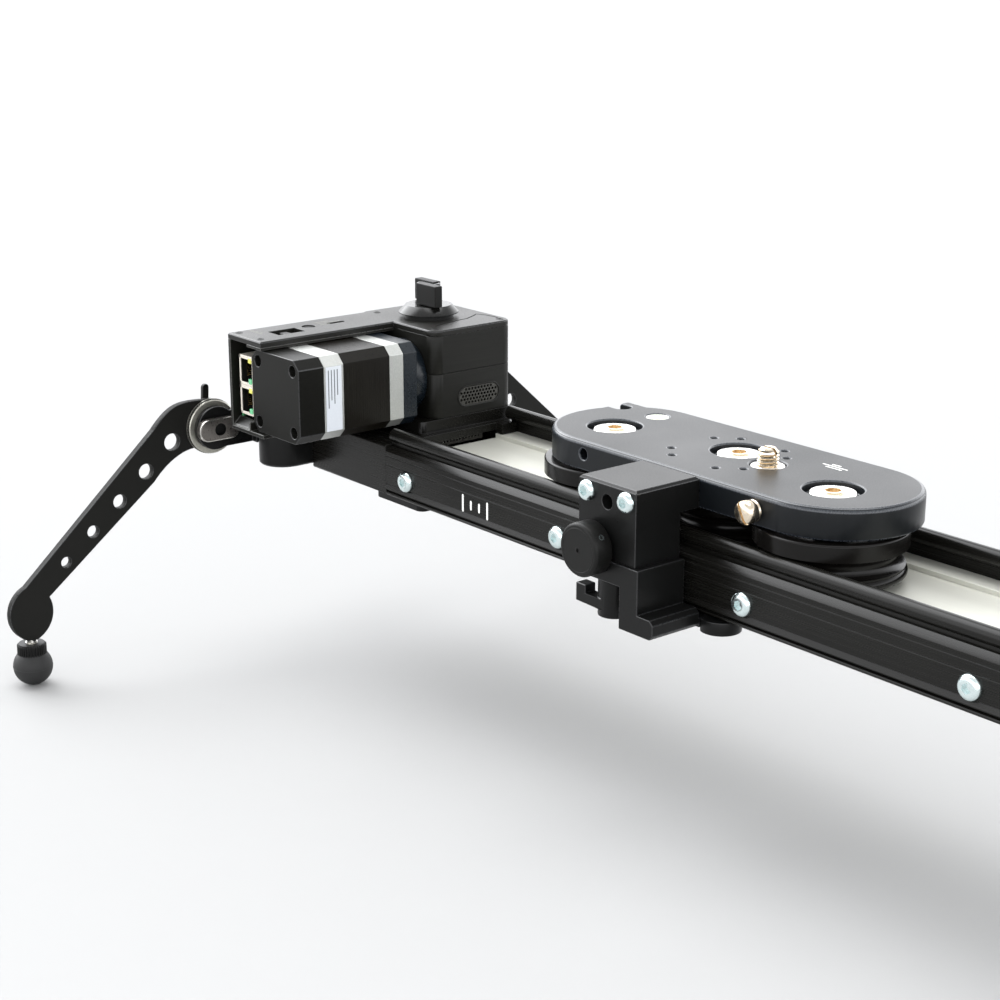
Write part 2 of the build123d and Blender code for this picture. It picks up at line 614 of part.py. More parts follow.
def motor_corners():
    half = MOTOR_HOLE_PITCH / 2
    return [(MOTOR_X + sx * half, MOTOR_Z + sz * half) for sx in (-1, 1) for sz in (-1, 1)]


def motor_end_cap():
    cap = motor_section(END_CAP_LENGTH, MOTOR_REAR_Y)
    cap -= rod_y(MOTOR_X, MOTOR_REAR_Y + 3, MOTOR_REAR_Y + END_CAP_LENGTH + 1, MOTOR_Z, 13)
    for x, z in motor_corners():
        cap -= rod_y(x, MOTOR_REAR_Y - 1, MOTOR_REAR_Y + SCREW_SINK, z, 2.9)
        cap -= rod_y(x, MOTOR_REAR_Y, REAR_BELL_Y + 1, z, MOTOR_SCREW_R + 0.1)
    return cap


def motor_bells():
    """Cast end bells in front of and behind the laminations, each with its bearing bore."""
    rear = motor_section(REAR_BELL_LENGTH, REAR_BELL_Y, MOTOR_SHAFT_R + FIT)
    front = motor_section(FRONT_BELL_LENGTH, FRONT_BELL_Y, MOTOR_SHAFT_R + FIT)
    for x, z in motor_corners():
        rear -= rod_y(x, REAR_BELL_Y - 1, STACK_Y + 1, z, MOTOR_SCREW_R + 0.1)
        front -= rod_y(x, FRONT_BELL_Y - 1, FRONT_BELL_Y + SCREW_END, z, MOTOR_SCREW_R + 0.1)
    return group([rear, front])


def motor_stack():
    stack = motor_section(STACK_LENGTH, STACK_Y, 13.5)
    for x, z in motor_corners():
        stack -= rod_y(x, STACK_Y - 1, FRONT_BELL_Y + 1, z, MOTOR_SCREW_R + 0.1)
    return stack


def motor_screws():
    """Four long screws that hold the end cap, bells and laminations together."""
    seat = MOTOR_REAR_Y + SCREW_SINK
    screws = []
    for x, z in motor_corners():
        shank = rod_y(x, seat, FRONT_BELL_Y + SCREW_END, z, MOTOR_SCREW_R)
        screws.append(shank + rod_y(x, seat - 2.4, seat, z, 2.7))
    return group(screws)


def motor_rotor():
    core = rod_y(MOTOR_X, STACK_Y + 2, FRONT_BELL_Y - 2, MOTOR_Z, 13.0)
    return core + rod_y(MOTOR_X, STACK_Y - 9, FRONT_BELL_Y + 13, MOTOR_Z, MOTOR_SHAFT_R)


def gearbox_flange():
    return motor_section(GEAR_FLANGE_LENGTH, GEARBOX_Y0, 14.0)


def gearbox_body():
    """Round planetary case with a pilot that centres it in the housing wall."""
    body = rod_y(MOTOR_X, GEARBOX_Y1, HOUSING_Y0, MOTOR_Z, GEAR_BODY_R)
    body += rod_y(MOTOR_X, HOUSING_Y0, HOUSING_Y0 + HOUSING_WALL, MOTOR_Z, GEAR_PILOT_R)
    body -= rod_y(MOTOR_X, GEARBOX_Y1 - 1, HOUSING_Y0 - 3, MOTOR_Z, 14.0)
    return body - rod_y(MOTOR_X, HOUSING_Y0 - 4, HOUSING_Y0 + HOUSING_WALL + 1, MOTOR_Z, SHAFT_R + FIT)


def gearbox_output():
    """Planet carrier, output shaft and bevel pinion in one piece."""
    carrier = rod_y(MOTOR_X, GEARBOX_Y1 - 3, GEARBOX_Y1 + 1, MOTOR_Z, 12.0)
    cone_y1 = SHAFT_Y - BEVEL_OFFSET
    shaft = rod_y(MOTOR_X, GEARBOX_Y1, cone_y1 - BEVEL_LENGTH, MOTOR_Z, SHAFT_R)
    cone = Pos(MOTOR_X, cone_y1 - BEVEL_LENGTH / 2, MOTOR_Z) * Rot(-90, 0, 0)
    return carrier + shaft + cone * Cone(BEVEL_R, BEVEL_R - BEVEL_LENGTH, BEVEL_LENGTH)


def drive_shaft():
    """Upright shaft from the pulley up to the bevel gear that meets the pinion."""
    gear_z1 = MOTOR_Z - BEVEL_OFFSET
    shaft = rod_z(MOTOR_X, SHAFT_Y, RAIL_BOTTOM + 0.4, gear_z1, SHAFT_R)
    gear = Cone(BEVEL_R, BEVEL_R - BEVEL_LENGTH, BEVEL_LENGTH)
    return shaft + Pos(MOTOR_X, SHAFT_Y, gear_z1 - BEVEL_LENGTH / 2) * gear


def belt_pulley(x, bore):
    flange = 1.1
    low = BELT_Z0 - 1.6
    high = BELT_Z1 + 1.6
    pulley = rod_z(x, SHAFT_Y, low, high, PULLEY_R - GAP)
    for z in (low, high - flange):
        pulley += rod_z(x, SHAFT_Y, z, z + flange, PULLEY_R + 2.2)
    return pulley - rod_z(x, SHAFT_Y, low - 1, high + 1, bore)


def timing_belt():
    outer = 2 * (PULLEY_R + BELT_THICK)
    inner = 2 * PULLEY_R
    span = -2 * MOTOR_X
    loop = SlotCenterToCenter(span, outer) - SlotCenterToCenter(span, inner)
    return extrude(Pos(0, SHAFT_Y, BELT_Z0) * loop, BELT_Z1 - BELT_Z0)


def idler_axle():
    x = -MOTOR_X
    axle = rod_z(x, SHAFT_Y, RAIL_BOTTOM, LEDGE_TOP - 4, SHAFT_R)
    return axle + rod_z(x, SHAFT_Y, RAIL_BOTTOM - 1.5, RAIL_BOTTOM, 6.5)


def housing_shell(z0, z1, cavity_z0):
    w = HOUSING_WALL
    shell = upright_block(HOUSING_X0, HOUSING_X1, HOUSING_Y0, HOUSING_Y1, z0, z1, HOUSING_CORNER)
    return shell - upright_block(HOUSING_X0 + w, HOUSING_X1 - w, HOUSING_Y0 + w, HOUSING_Y1 - w,
                                 cavity_z0, z1 + 1, HOUSING_CORNER - w)


def pilot_hole():
    return rod_y(MOTOR_X, HOUSING_Y0 - 1, HOUSING_Y0 + HOUSING_WALL + 1, MOTOR_Z, GEAR_PILOT_R)


def lower_housing():
    shell = housing_shell(HOUSING_BOTTOM, HOUSING_SPLIT, HOUSING_BOTTOM + HOUSING_WALL)
    shell -= pilot_hole()
    shell -= rod_z(MOTOR_X, SHAFT_Y, HOUSING_BOTTOM - 1, HOUSING_BOTTOM + HOUSING_WALL + 1, SHAFT_R + FIT)
    rim = 3.0
    window = Pos(VENT_Y, VENT_Z) * SlotOverall(VENT_LENGTH - rim, VENT_HEIGHT - rim)
    shell -= extrude(Plane.YZ.offset(HOUSING_X1 - HOUSING_WALL - 1) * window, HOUSING_WALL + 2)
    seat = Pos(VENT_Y, VENT_Z) * SlotOverall(VENT_LENGTH, VENT_HEIGHT)
    return shell - extrude(Plane.YZ.offset(HOUSING_X1 - VENT_RECESS) * seat, VENT_RECESS + 1)


def upper_housing():
    return housing_shell(HOUSING_SPLIT, HOUSING_TOP, HOUSING_SPLIT - 1) - pilot_hole()


def vent_grilles():
    """Two perforated sheets: the oval one in the housing wall and the long one over the belt opening."""
    sheet = 0.9
    outline = Pos(VENT_Y, VENT_Z) * SlotOverall(VENT_LENGTH, VENT_HEIGHT)
    oval = extrude(Plane.YZ.offset(HOUSING_X1 - VENT_RECESS) * outline, sheet)
    oval_pitch = 2.4
    slit_half = 0.6
    slit_reach = VENT_HEIGHT / 3
    for i in range(-4, 5):
        y = VENT_Y + oval_pitch * i
        oval -= block(HOUSING_X1 - 2, HOUSING_X1 + 1, y - slit_half, y + slit_half,
                      VENT_Z - slit_reach, VENT_Z + slit_reach)
    long_x = -TRACK_HALF + BASE_LENGTH - 5
    long_y0 = -32.9
    long_pitch = 2.6
    long = block(long_x, long_x + sheet, long_y0, 22, BED_TOP, LEDGE_TOP - 4.1)
    for i in range(20):
        y = long_y0 + 2.9 + long_pitch * i
        long -= block(long_x - 1, long_x + 2, y - slit_half, y + slit_half, BED_TOP + 1, LEDGE_TOP - 5)
    return group([oval, long])


def top_plate():
    """Lid over the gear housing and the controller, with the openings for the switch, button and slot."""
    z0 = HOUSING_TOP
    plate = upright_block(HOUSING_X0, HOUSING_X1, HOUSING_Y0, HOUSING_Y1, z0, TOP_PLATE_TOP, HOUSING_CORNER)
    plate += block(CASE_X0, CASE_FLANGE_X1, CASE_Y0, HOUSING_Y0 + 8, z0, TOP_PLATE_TOP)
    plate = chamfer(plate.faces().sort_by(Axis.Z)[-1].edges(), 0.6)
    plate -= block(SWITCH_X - 5, SWITCH_X + 5, SWITCH_Y - 8, SWITCH_Y + 8, z0 - 1, TOP_PLATE_TOP + 1)
    plate -= rod_z(BUTTON_X, BUTTON_Y, z0 - 1, TOP_PLATE_TOP + 1, BUTTON_R + GAP)
    plate -= extrude(Pos(BUTTON_X + 0.5, -34, z0 - 1) * SlotOverall(11, 2.6, 90), 5)
    return plate - rod_z(KNOB_X, KNOB_Y, z0 - 1, TOP_PLATE_TOP + 1, STEM_R + FIT)


def controller_case():
    """C-shaped case beside the motor, open at its end for the two data jacks."""
    y1 = HOUSING_Y0
    wall = 2.0
    web = 1.0
    case = block(CASE_X0, CASE_X1, CASE_Y0, y1, CASE_BOTTOM, HOUSING_TOP)
    case -= block(CASE_X0 + wall, CASE_X1 - web, CASE_Y0 - 1, y1 - wall, CASE_BOTTOM + wall, HOUSING_TOP + 1)
    case += block(CASE_X1 - web, CASE_FLANGE_X1, CASE_Y0, y1, CASE_TOP_FLANGE, HOUSING_TOP)
    case += block(CASE_X1 - web, CASE_FLANGE_X1, CASE_Y0, y1, CASE_BOTTOM, CASE_BOTTOM + wall)
    sill = Polyline((CASE_Y0 + 0.8, CASE_BOTTOM + 1), (CASE_Y0 + 0.8, CASE_BOTTOM + 2.6),
                    (CASE_Y0 + 4.6, CASE_BOTTOM + 6.2), (CASE_Y0 + 6.5, CASE_BOTTOM + 6.2),
                    (CASE_Y0 + 6.5, CASE_BOTTOM + 1), close=True)
    case += extrude(Plane.YZ.offset(CASE_X0 + 1) * make_face(sill), CASE_X1 - CASE_X0 - 1.5)
    case -= block(SWITCH_X - 5.2, SWITCH_X + 5.2, SWITCH_Y - 8, SWITCH_Y + 8,
                  CASE_TOP_FLANGE - 0.5, HOUSING_TOP + 1)
    case -= block(CASE_X1 - web - 0.1, CASE_X1 + 0.1, CASE_Y0 - 1, JACK_Y0 + JACK_DEPTH + 2,
                  CASE_BOTTOM + 6.2, CASE_TOP_FLANGE)
    return case - block(CASE_X0 - 1, CASE_FLANGE_X1 + 1, RISER_Y0 - GAP, HOUSING_Y0 + 1,
                        CASE_BOTTOM - 1, HOUSING_BOTTOM)


def data_jacks():
    """Two shielded network jacks lying on their sides, one over the other."""
    jacks = []
    for i in range(2):
        z0 = JACK_LOW + i * (JACK_HEIGHT + 0.2)
        z1 = z0 + JACK_HEIGHT
        jack = block(JACK_X0, JACK_X1, JACK_Y0, JACK_Y0 + JACK_DEPTH, z0, z1)
        jack -= block(JACK_X0 + 1, JACK_X1 - 1.5, JACK_Y0 - 1, JACK_Y0 + 12, z0 + 1.6, z1 - 1.6)
        jacks.append(jack)
    return group(jacks)


def circuit_board():
    face_x = JACK_X0 - 0.1
    board = block(face_x - 1.6, face_x, JACK_Y0 + 1, -14, 25.4, 57.5)
    chip_half = 5.0
    for y, z in ((-60, 35), (-46, 50), (-34, 34)):
        board += block(face_x, face_x + 2.5, y - chip_half, y + chip_half, z - chip_half, z + chip_half)
    return board


def clutch_collar():
    """Bevelled round seat under the wing knob, standing on a narrower neck."""
    neck = 2.2
    rim = 0.7
    slope = COLLAR_HEIGHT - neck - rim
    cone_z = TOP_PLATE_TOP + neck + rim
    seat = Pos(KNOB_X, KNOB_Y, cone_z + slope / 2) * Cone(COLLAR_R, COLLAR_R - slope, slope)
    seat += rod_z(KNOB_X, KNOB_Y, TOP_PLATE_TOP + neck, cone_z, COLLAR_R)
    seat += rod_z(KNOB_X, KNOB_Y, TOP_PLATE_TOP, TOP_PLATE_TOP + neck, COLLAR_R - 2.8)
    return seat - rod_z(KNOB_X, KNOB_Y, TOP_PLATE_TOP - 1, TOP_PLATE_TOP + COLLAR_HEIGHT + 1, STEM_R + FIT)


def clutch_knob():
    """Wing knob: a round core with two flat wings on opposite sides, on a stem into the housing."""
    z0 = TOP_PLATE_TOP + COLLAR_HEIGHT + GAP
    z1 = z0 + 11.2
    core_r = 6.35
    wing_thick = 4.8
    knob = rod_z(KNOB_X, KNOB_Y, z0, z1 - 0.4, core_r)
    for side in (-1, 1):
        wing_y = KNOB_Y - side * core_r
        wing = block(KNOB_X - side * 2.4, KNOB_X + side * 14.1, wing_y, wing_y + side * wing_thick, z0, z1)
        knob += chamfer(wing.faces().sort_by(Axis.Z)[-1].edges(), 0.5)
    return knob + rod_z(KNOB_X, KNOB_Y, HOUSING_TOP - 8, z0, STEM_R)


def power_button():
    shoulder_top = HOUSING_TOP - 0.8
    cap = rod_z(BUTTON_X, BUTTON_Y, shoulder_top, TOP_PLATE_TOP - 0.6, BUTTON_R)
    return cap + rod_z(BUTTON_X, BUTTON_Y, shoulder_top - 1.8, shoulder_top, BUTTON_R + 1.1)


def mode_switch():
    low = HOUSING_TOP - 1.4
    step = low + 2.0
    slider = block(SWITCH_X - 4.6, SWITCH_X + 4.6, SWITCH_Y - 5.5, SWITCH_Y + 4, low, step)
    return slider + block(SWITCH_X - 2.5, SWITCH_X + 2.5, SWITCH_Y - 3, SWITCH_Y + 1.5, step, step + 1.6)


# ---- assembly ----------------------------------------------------------------------------------
def make_track():
    rail = near_rail()
    write("near_rail", rail)
    write("far_rail", mirrored(rail, False, True))
    write("bed_plate", bed_plate())
    write("side_screws", side_screws())
    write("drive_base", end_base(True))
    write("idler_base", mirrored(end_base(False), True, False))
    bar = end_bar()
    write("end_bars", group([bar, mirrored(bar, True, False)]))
    block_ = tripod_block()
    write("tripod_blocks", group([block_, mirrored(block_, True, False)]))
    write("leg_brackets", group(at_corners(near_drive_bracket())))
    write("hub_rosettes", group(at_corners(near_drive_rosette())))


def make_legs():
    leg = near_drive_leg()
    foot = near_drive_foot()
    clamp = near_drive_clamp()
    for corner, flip_x, flip_y in CORNERS:
        write(corner + "_leg", mirrored(leg, flip_x, flip_y))
        write(corner + "_foot", mirrored(foot, flip_x, flip_y))
        write(corner + "_clamp", mirrored(clamp, flip_x, flip_y))


def make_carriage():
    write("carriage_plate", carriage_plate())
    write("brake_block", brake_block())
    write("brake_arm", brake_arm())
    write("belt_clamp", belt_clamp())
    write("carriage_screws", carriage_screws())
    write("spare_camera_screw", spare_camera_screw())
    write("bubble_level", bubble_level())
    write("axle_bolts", group(axle_bolt(x, y) for _, x, y in roller_places()))
    write("roller_bearings", group(roller_bearing(x, y) for _, x, y in roller_places()))
    write("camera_screw", camera_screw())
    write("brake_knob", brake_knob())
    for name, x, y in roller_places():
        write(name, roller(x, y))


def make_drive():
    write("motor_end_cap", motor_end_cap())
    write("motor_bells", motor_bells())
    write("motor_stack", motor_stack())
    write("motor_screws", motor_screws())
    write("motor_rotor", motor_rotor())
    write("gearbox_flange", gearbox_flange())
    write("gearbox_body", gearbox_body())
    write("gearbox_output", gearbox_output())
    write("drive_shaft", drive_shaft())
    write("drive_pulley", belt_pulley(MOTOR_X, SHAFT_R))
    write("idler_pulley", belt_pulley(-MOTOR_X, SHAFT_R + FIT))
    write("idler_axle", idler_axle())
    write("timing_belt", timing_belt())
    write("lower_housing", lower_housing())
    write("upper_housing", upper_housing())
    write("vent_grilles", vent_grilles())
    write("top_plate", top_plate())
    write("controller_case", controller_case())
    write("data_jacks", data_jacks())
    write("circuit_board", circuit_board())
    write("clutch_collar", clutch_collar())
    write("clutch_knob", clutch_knob())
    write("power_button", power_button())
    write("mode_switch", mode_switch())


make_track()
make_legs()
make_carriage()
make_drive()
print(len(NAMES), "nodes")
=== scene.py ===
"""Looks of the motorised camera slider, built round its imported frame. Everything is in metres."""
import json
import math

import bmesh
import bpy
from mathutils import Matrix, Vector


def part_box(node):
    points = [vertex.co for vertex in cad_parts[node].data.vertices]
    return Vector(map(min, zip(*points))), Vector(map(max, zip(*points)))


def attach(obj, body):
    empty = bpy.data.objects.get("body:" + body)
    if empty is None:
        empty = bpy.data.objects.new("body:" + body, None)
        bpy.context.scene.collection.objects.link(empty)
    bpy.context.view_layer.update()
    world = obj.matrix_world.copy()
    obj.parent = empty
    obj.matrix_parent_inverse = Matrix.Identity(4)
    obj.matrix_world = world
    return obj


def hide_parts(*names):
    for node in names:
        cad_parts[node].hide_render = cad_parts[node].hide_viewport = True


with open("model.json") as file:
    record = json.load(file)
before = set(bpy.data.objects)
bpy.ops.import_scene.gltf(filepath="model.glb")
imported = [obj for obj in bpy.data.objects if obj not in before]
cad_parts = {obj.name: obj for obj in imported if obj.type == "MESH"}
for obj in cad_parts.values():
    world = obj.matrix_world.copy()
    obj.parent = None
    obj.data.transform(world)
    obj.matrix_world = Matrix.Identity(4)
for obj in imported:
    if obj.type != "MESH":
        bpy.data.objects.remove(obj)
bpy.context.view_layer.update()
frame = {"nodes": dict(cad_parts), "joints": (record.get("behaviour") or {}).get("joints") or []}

MM = 0.001
NODES = frame["nodes"]

# ---- places read from the frame, and sizes that several parts share ----
PLATE_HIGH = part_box("carriage_plate")[1]
RAIL_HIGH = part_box("near_rail")[1]
LID_LOW, LID_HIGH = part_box("top_plate")
HOUSE_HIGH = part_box("upper_housing")[1]
CORNERS = ("drive_near", "drive_far", "idler_near", "idler_far")
HUBS = {joint["child"][:-len("_leg")]: Vector(joint["pos_m"])
        for joint in frame["joints"] if joint["name"].endswith("_leg_fold")}
ROLLERS = ("drive_side_roller", "middle_roller", "idler_side_roller")

BEAD_R = 3.5 * MM
HEAD_SEGMENTS = 48
SHARP_ANGLE = 35
WELD = 1e-6


# ---- materials ----
def add_node(tree, kind, values=None, operation=None):
    """A shader node of a kind, with the values of some of its inputs."""
    node = tree.nodes.new("ShaderNode" + kind)
    if operation:
        node.operation = operation
    for name, value in (values or {}).items():
        node.inputs[name].default_value = value
    return node


def noise(tree, coordinates, scale, detail):
    """Noise whose grain is stretched by a different scale, per metre, along each axis."""
    stretch = add_node(tree, "Mapping", {"Scale": scale})
    texture = add_node(tree, "TexNoise", {"Scale": 1.0, "Detail": detail})
    tree.links.new(coordinates.outputs["Object"], stretch.inputs["Vector"])
    tree.links.new(stretch.outputs["Vector"], texture.inputs["Vector"])
    return texture.outputs["Fac"]


def surface(name, colour, rough, metallic=0.0, specular=0.5, grain=900, spread=0.25, relief=0.01, coat=0.0):
    """A material whose colour, roughness and relief vary with a fine grain and a wide blotch.

    The grain is in waves per metre, one number or one for each axis. The relief is in millimetres.
    """
    rough_spread = 0.08
    blotch = 18
    # nearly all of the noise lies between these two values
    low, high = 0.3, 0.7
    material = bpy.data.materials.new(name)
    material.use_nodes = True
    tree = material.node_tree
    link = tree.links.new
    shader = tree.nodes["Principled BSDF"]
    for key, value in (("Metallic", metallic), ("Specular IOR Level", specular), ("Coat Weight", coat),
                       ("Coat Roughness", 0.15)):
        shader.inputs[key].default_value = value
    coordinates = add_node(tree, "TexCoord")
    fine = noise(tree, coordinates, grain if isinstance(grain, tuple) else (grain,) * 3, 4)
    wide = noise(tree, coordinates, (blotch,) * 3, 2)

    share = add_node(tree, "Math", {1: 0.6}, "MULTIPLY")
    blend = add_node(tree, "Math", {1: 0.4}, "MULTIPLY_ADD")
    link(fine, share.inputs[0])
    link(wide, blend.inputs[0])
    link(share.outputs[0], blend.inputs[2])

    ramp = add_node(tree, "ValToRGB")
    dark, light = ramp.color_ramp.elements
    dark.position = low
    light.position = high
    dark.color = [c * (1 - spread) for c in colour] + [1]
    light.color = [min(1, c * (1 + spread)) for c in colour] + [1]
    link(blend.outputs[0], ramp.inputs["Fac"])
    link(ramp.outputs["Color"], shader.inputs["Base Color"])

    gloss = add_node(tree, "MapRange", {"From Min": low, "From Max": high, "To Max": rough + rough_spread,
                                        "To Min": max(0.03, rough - rough_spread)})
    link(blend.outputs[0], gloss.inputs["Value"])
    link(gloss.outputs["Result"], shader.inputs["Roughness"])

    bump = add_node(tree, "Bump", {"Strength": 1.0, "Distance": relief * MM})
    link(fine, bump.inputs["Height"])
    link(bump.outputs["Normal"], shader.inputs["Normal"])
    return material


ALONG_X = (6, 1800, 1800)
LAYERS = (30, 30, 2600)
ANODISED = surface("anodised_black", (0.0050, 0.0048, 0.0040), 0.26, specular=0.22, grain=ALONG_X,
                   spread=0.35, relief=0.0015)
MACHINED = surface("machined_black", (0.0048, 0.0049, 0.0048), 0.34, specular=0.18, grain=1500,
                   relief=0.006)
# lighter copy of the machined black for rounded edges: a painted highlight
MACHINED_EDGE_HIGHLIGHT = surface("machined_edge_highlight", (0.012, 0.0125, 0.013), 0.3, specular=0.45)
PLATE_BLACK = surface("plate_black", (0.0040, 0.0050, 0.0062), 0.34, specular=0.22, grain=1800, spread=0.2,
                      relief=0.006)
# lighter copy of the plate black for its chamfer: a painted highlight
PLATE_EDGE_HIGHLIGHT = surface("plate_edge_highlight", (0.020, 0.024, 0.030), 0.28, specular=0.6)
BED_SILVER = surface("bed_silver", (0.60, 0.60, 0.54), 0.45, metallic=0.35, grain=ALONG_X, spread=0.05,
                     relief=0.003)
ZINC = surface("zinc", (0.72, 0.82, 0.82), 0.18, metallic=1.0, grain=700, spread=0.12, relief=0.005)
NICKEL = surface("nickel", (0.76, 0.66, 0.52), 0.22, metallic=1.0, grain=600, spread=0.15, relief=0.004)
STEEL = surface("ground_steel", (0.70, 0.69, 0.66), 0.2, metallic=1.0, spread=0.08, relief=0.004)
PRINTED = surface("printed_plastic", (0.0070, 0.0070, 0.0056), 0.42, specular=0.20, grain=LAYERS,
                  spread=0.4, relief=0.03)
LID = surface("lid_anodised", (0.0070, 0.0068, 0.0054), 0.38, specular=0.26, grain=1600, spread=0.2,
              relief=0.006)
MOTOR_BLACK = surface("motor_black", (0.0050, 0.0050, 0.0041), 0.36, specular=0.13, grain=1300)
MOTOR_CAST = surface("motor_cast", (0.46, 0.47, 0.45), 0.42, metallic=0.7, grain=1500, spread=0.14,
                     relief=0.02)
LAMINATED = surface("laminated_steel", (0.0065, 0.0055, 0.0038), 0.34, specular=0.24,
                    grain=(900, 2600, 30), spread=0.5)
GEAR_BLUE = surface("gearbox_blue", (0.0060, 0.0095, 0.0135), 0.32, specular=0.35, spread=0.2,
                    relief=0.002)
GRILLE = surface("grille_sheet", (0.036, 0.035, 0.030), 0.42, specular=0.4, grain=1500)
GUN_METAL = surface("gun_metal", (0.20, 0.185, 0.17), 0.34, metallic=0.9, grain=1100, spread=0.22,
                    relief=0.006)
LEG_BLACK = surface("leg_black", (0.0062, 0.0062, 0.0052), 0.58, specular=0.16, grain=1300, relief=0.008)
RUBBER = surface("rubber", (0.016, 0.016, 0.016), 0.62, specular=0.35, grain=1400, spread=0.3, relief=0.04)
BOARD = surface("board_green", (0.03, 0.16, 0.06), 0.35, grain=800)
SHIELD = surface("jack_shield", (0.78, 0.72, 0.63), 0.34, metallic=0.55, grain=600, spread=0.1,
                 relief=0.004)
LEVEL = surface("level_vial", (0.75, 0.78, 0.70), 0.12, specular=0.6, grain=300, spread=0.05)
KNOB = surface("knob_black", (0.0052, 0.0052, 0.0048), 0.42, specular=0.18, grain=1500, spread=0.25)
GLOSS = surface("gloss_black", (0.0050, 0.0050, 0.0045), 0.22, specular=0.34, grain=1500, spread=0.25,
                relief=0.002)
ROLLER = surface("roller_black", (0.0038, 0.0034, 0.0030), 0.22, specular=0.18, grain=(60, 60, 2200),
                 spread=0.25, relief=0.002)
ROSETTE = surface("rosette_metal", (0.42, 0.41, 0.36), 0.35, metallic=0.8, spread=0.15, relief=0.004)
# lighter copy of the gun metal for the grip's chamfer: a painted highlight
CLAMP_EDGE_HIGHLIGHT = surface("clamp_edge_highlight", (0.62, 0.60, 0.56), 0.26, metallic=1.0, spread=0.12, relief=0.004)
# lighter copy of the case's dark finish for its rounded edges: a painted highlight
CASE_EDGE_HIGHLIGHT = surface("case_edge_highlight", (0.05, 0.05, 0.045), 0.3, specular=0.5)
# near-black, nearly unreflecting colour: painted shade of the lid's groove
GROOVE_SHADE = surface("lid_groove_shade", (0.0012, 0.0012, 0.0010), 0.7, specular=0.05)
PRINT_WHITE = surface("print_white", (0.82, 0.82, 0.79), 0.5, specular=0.3, spread=0.04)
MARK_GREY = surface("mark_grey", (0.16, 0.16, 0.14), 0.5, specular=0.3, spread=0.1)
WARM_STEEL = surface("warm_steel", (0.74, 0.62, 0.45), 0.24, metallic=1.0, grain=700, spread=0.12)
ALLOY = surface("turned_alloy", (0.6, 0.6, 0.58), 0.3, metallic=1.0, spread=0.1)
GOLD = surface("gold_contacts", (0.85, 0.62, 0.25), 0.25, metallic=1.0, spread=0.1)
LABEL = surface("label_paper", (0.60, 0.63, 0.67), 0.45, specular=0.4, spread=0.03, relief=0.003)
LABEL_GREY = surface("label_rules", (0.12, 0.13, 0.14), 0.5, specular=0.3, spread=0.1)
LIQUID = surface("level_liquid", (0.62, 0.70, 0.42), 0.08, specular=0.7, spread=0.03, coat=0.6)
LIGHT_YELLOW = surface("light_yellow", (0.62, 0.60, 0.10), 0.25, spread=0.1, coat=0.5)
LIGHT_GREEN = surface("light_green", (0.10, 0.45, 0.20), 0.25, spread=0.1, coat=0.5)


# ---- mesh helpers ----
def turn_to(axis, place):
    """Matrix that carries +Z onto an axis and the origin to a place."""
    return Matrix.Translation(place) @ Vector(axis).to_track_quat("Z", "Y").to_matrix().to_4x4()


def on_circle(radius, angle, height):
    """The point at a radius and an angle round Z, at a height."""
    return Vector((radius * math.cos(angle), radius * math.sin(angle), height))


def ring(bm, matrix, points):
    """New vertices at points that a matrix carries into place."""
    return [bm.verts.new(matrix @ Vector(point)) for point in points]


def bridge(bm, rings, slot=0):
    """Joins each ring of vertices to the next with a band of four-cornered faces."""
    for one, two in zip(rings, rings[1:]):
        for i in range(len(one)):
            j = (i + 1) % len(one)
            bm.faces.new([one[i], one[j], two[j], two[i]]).material_index = slot


def offsets(x, y, steps):
    """Points given as steps in millimetres from one place."""
    return [(x + along * MM, y + up * MM) for along, up in steps]


def lathe(bm, profile, matrix=Matrix(), segments=96, slot=0, closed=False):
    """Adds a turned form from (radius, height) pairs; a radius of 0 closes it on its axis."""
    rings = []
    for radius, height in profile:
        angles = [math.tau * i / segments for i in range(segments if radius > 1e-9 else 1)]
        rings.append(ring(bm, matrix, [on_circle(radius, angle, height) for angle in angles]))
    if closed:
        rings.append(rings[0])
    for low, high in zip(rings, rings[1:]):
        for i in range(segments):
            j = (i + 1) % segments
            corners = [low[i % len(low)], low[j % len(low)], high[j % len(high)], high[i % len(high)]]
            corners = list(dict.fromkeys(corners))
            if len(corners) > 2:
                bm.faces.new(corners).material_index = slot


def prism(bm, outline, low, high, matrix=Matrix()):
    """Adds a solid with a flat outline, counter-clockwise in X and Y, between two heights."""
    bottom, top = [ring(bm, matrix, [(x, y, height) for x, y in outline]) for height in (low, high)]
    bm.faces.new(bottom[::-1])
    bm.faces.new(top)
    bridge(bm, [bottom, top])


def brick(bm, low, high):
    """Adds a box between two corners."""
    outline = [(low[0], low[1]), (high[0], low[1]), (high[0], high[1]), (low[0], high[1])]
    prism(bm, outline, low[2], high[2])


def arc(centre, radius, start, end, count=12):
    """Points on an arc, angles in degrees."""
    points = []
    for i in range(count + 1):
        angle = math.radians(start + (end - start) * i / count)
        points.append((centre[0] + radius * math.cos(angle), centre[1] + radius * math.sin(angle)))
    return points


def stadium(x, y, length, width, count=16):
    """Outline with two round ends, long along its first axis."""
    reach = (length - width) / 2
    return arc((x + reach, y), width / 2, -90, 90, count) + arc((x - reach, y), width / 2, 90, 270, count)


def stadium_reach(length, width, angle):
    """Distance from a stadium's centre to its edge in one direction."""
    half = (length - width) / 2
    radius = width / 2
    along = abs(math.cos(angle))
    across = abs(math.sin(angle))
    if across * half >= along * radius:
        return radius / across
    return half * along + math.sqrt(radius**2 - (half * across) ** 2)


def circle(x, y, radius, count):
    """Round outline with a number of corners."""
    return [(x + radius * math.cos(math.tau * i / count), y + radius * math.sin(math.tau * i / count))
            for i in range(count)]


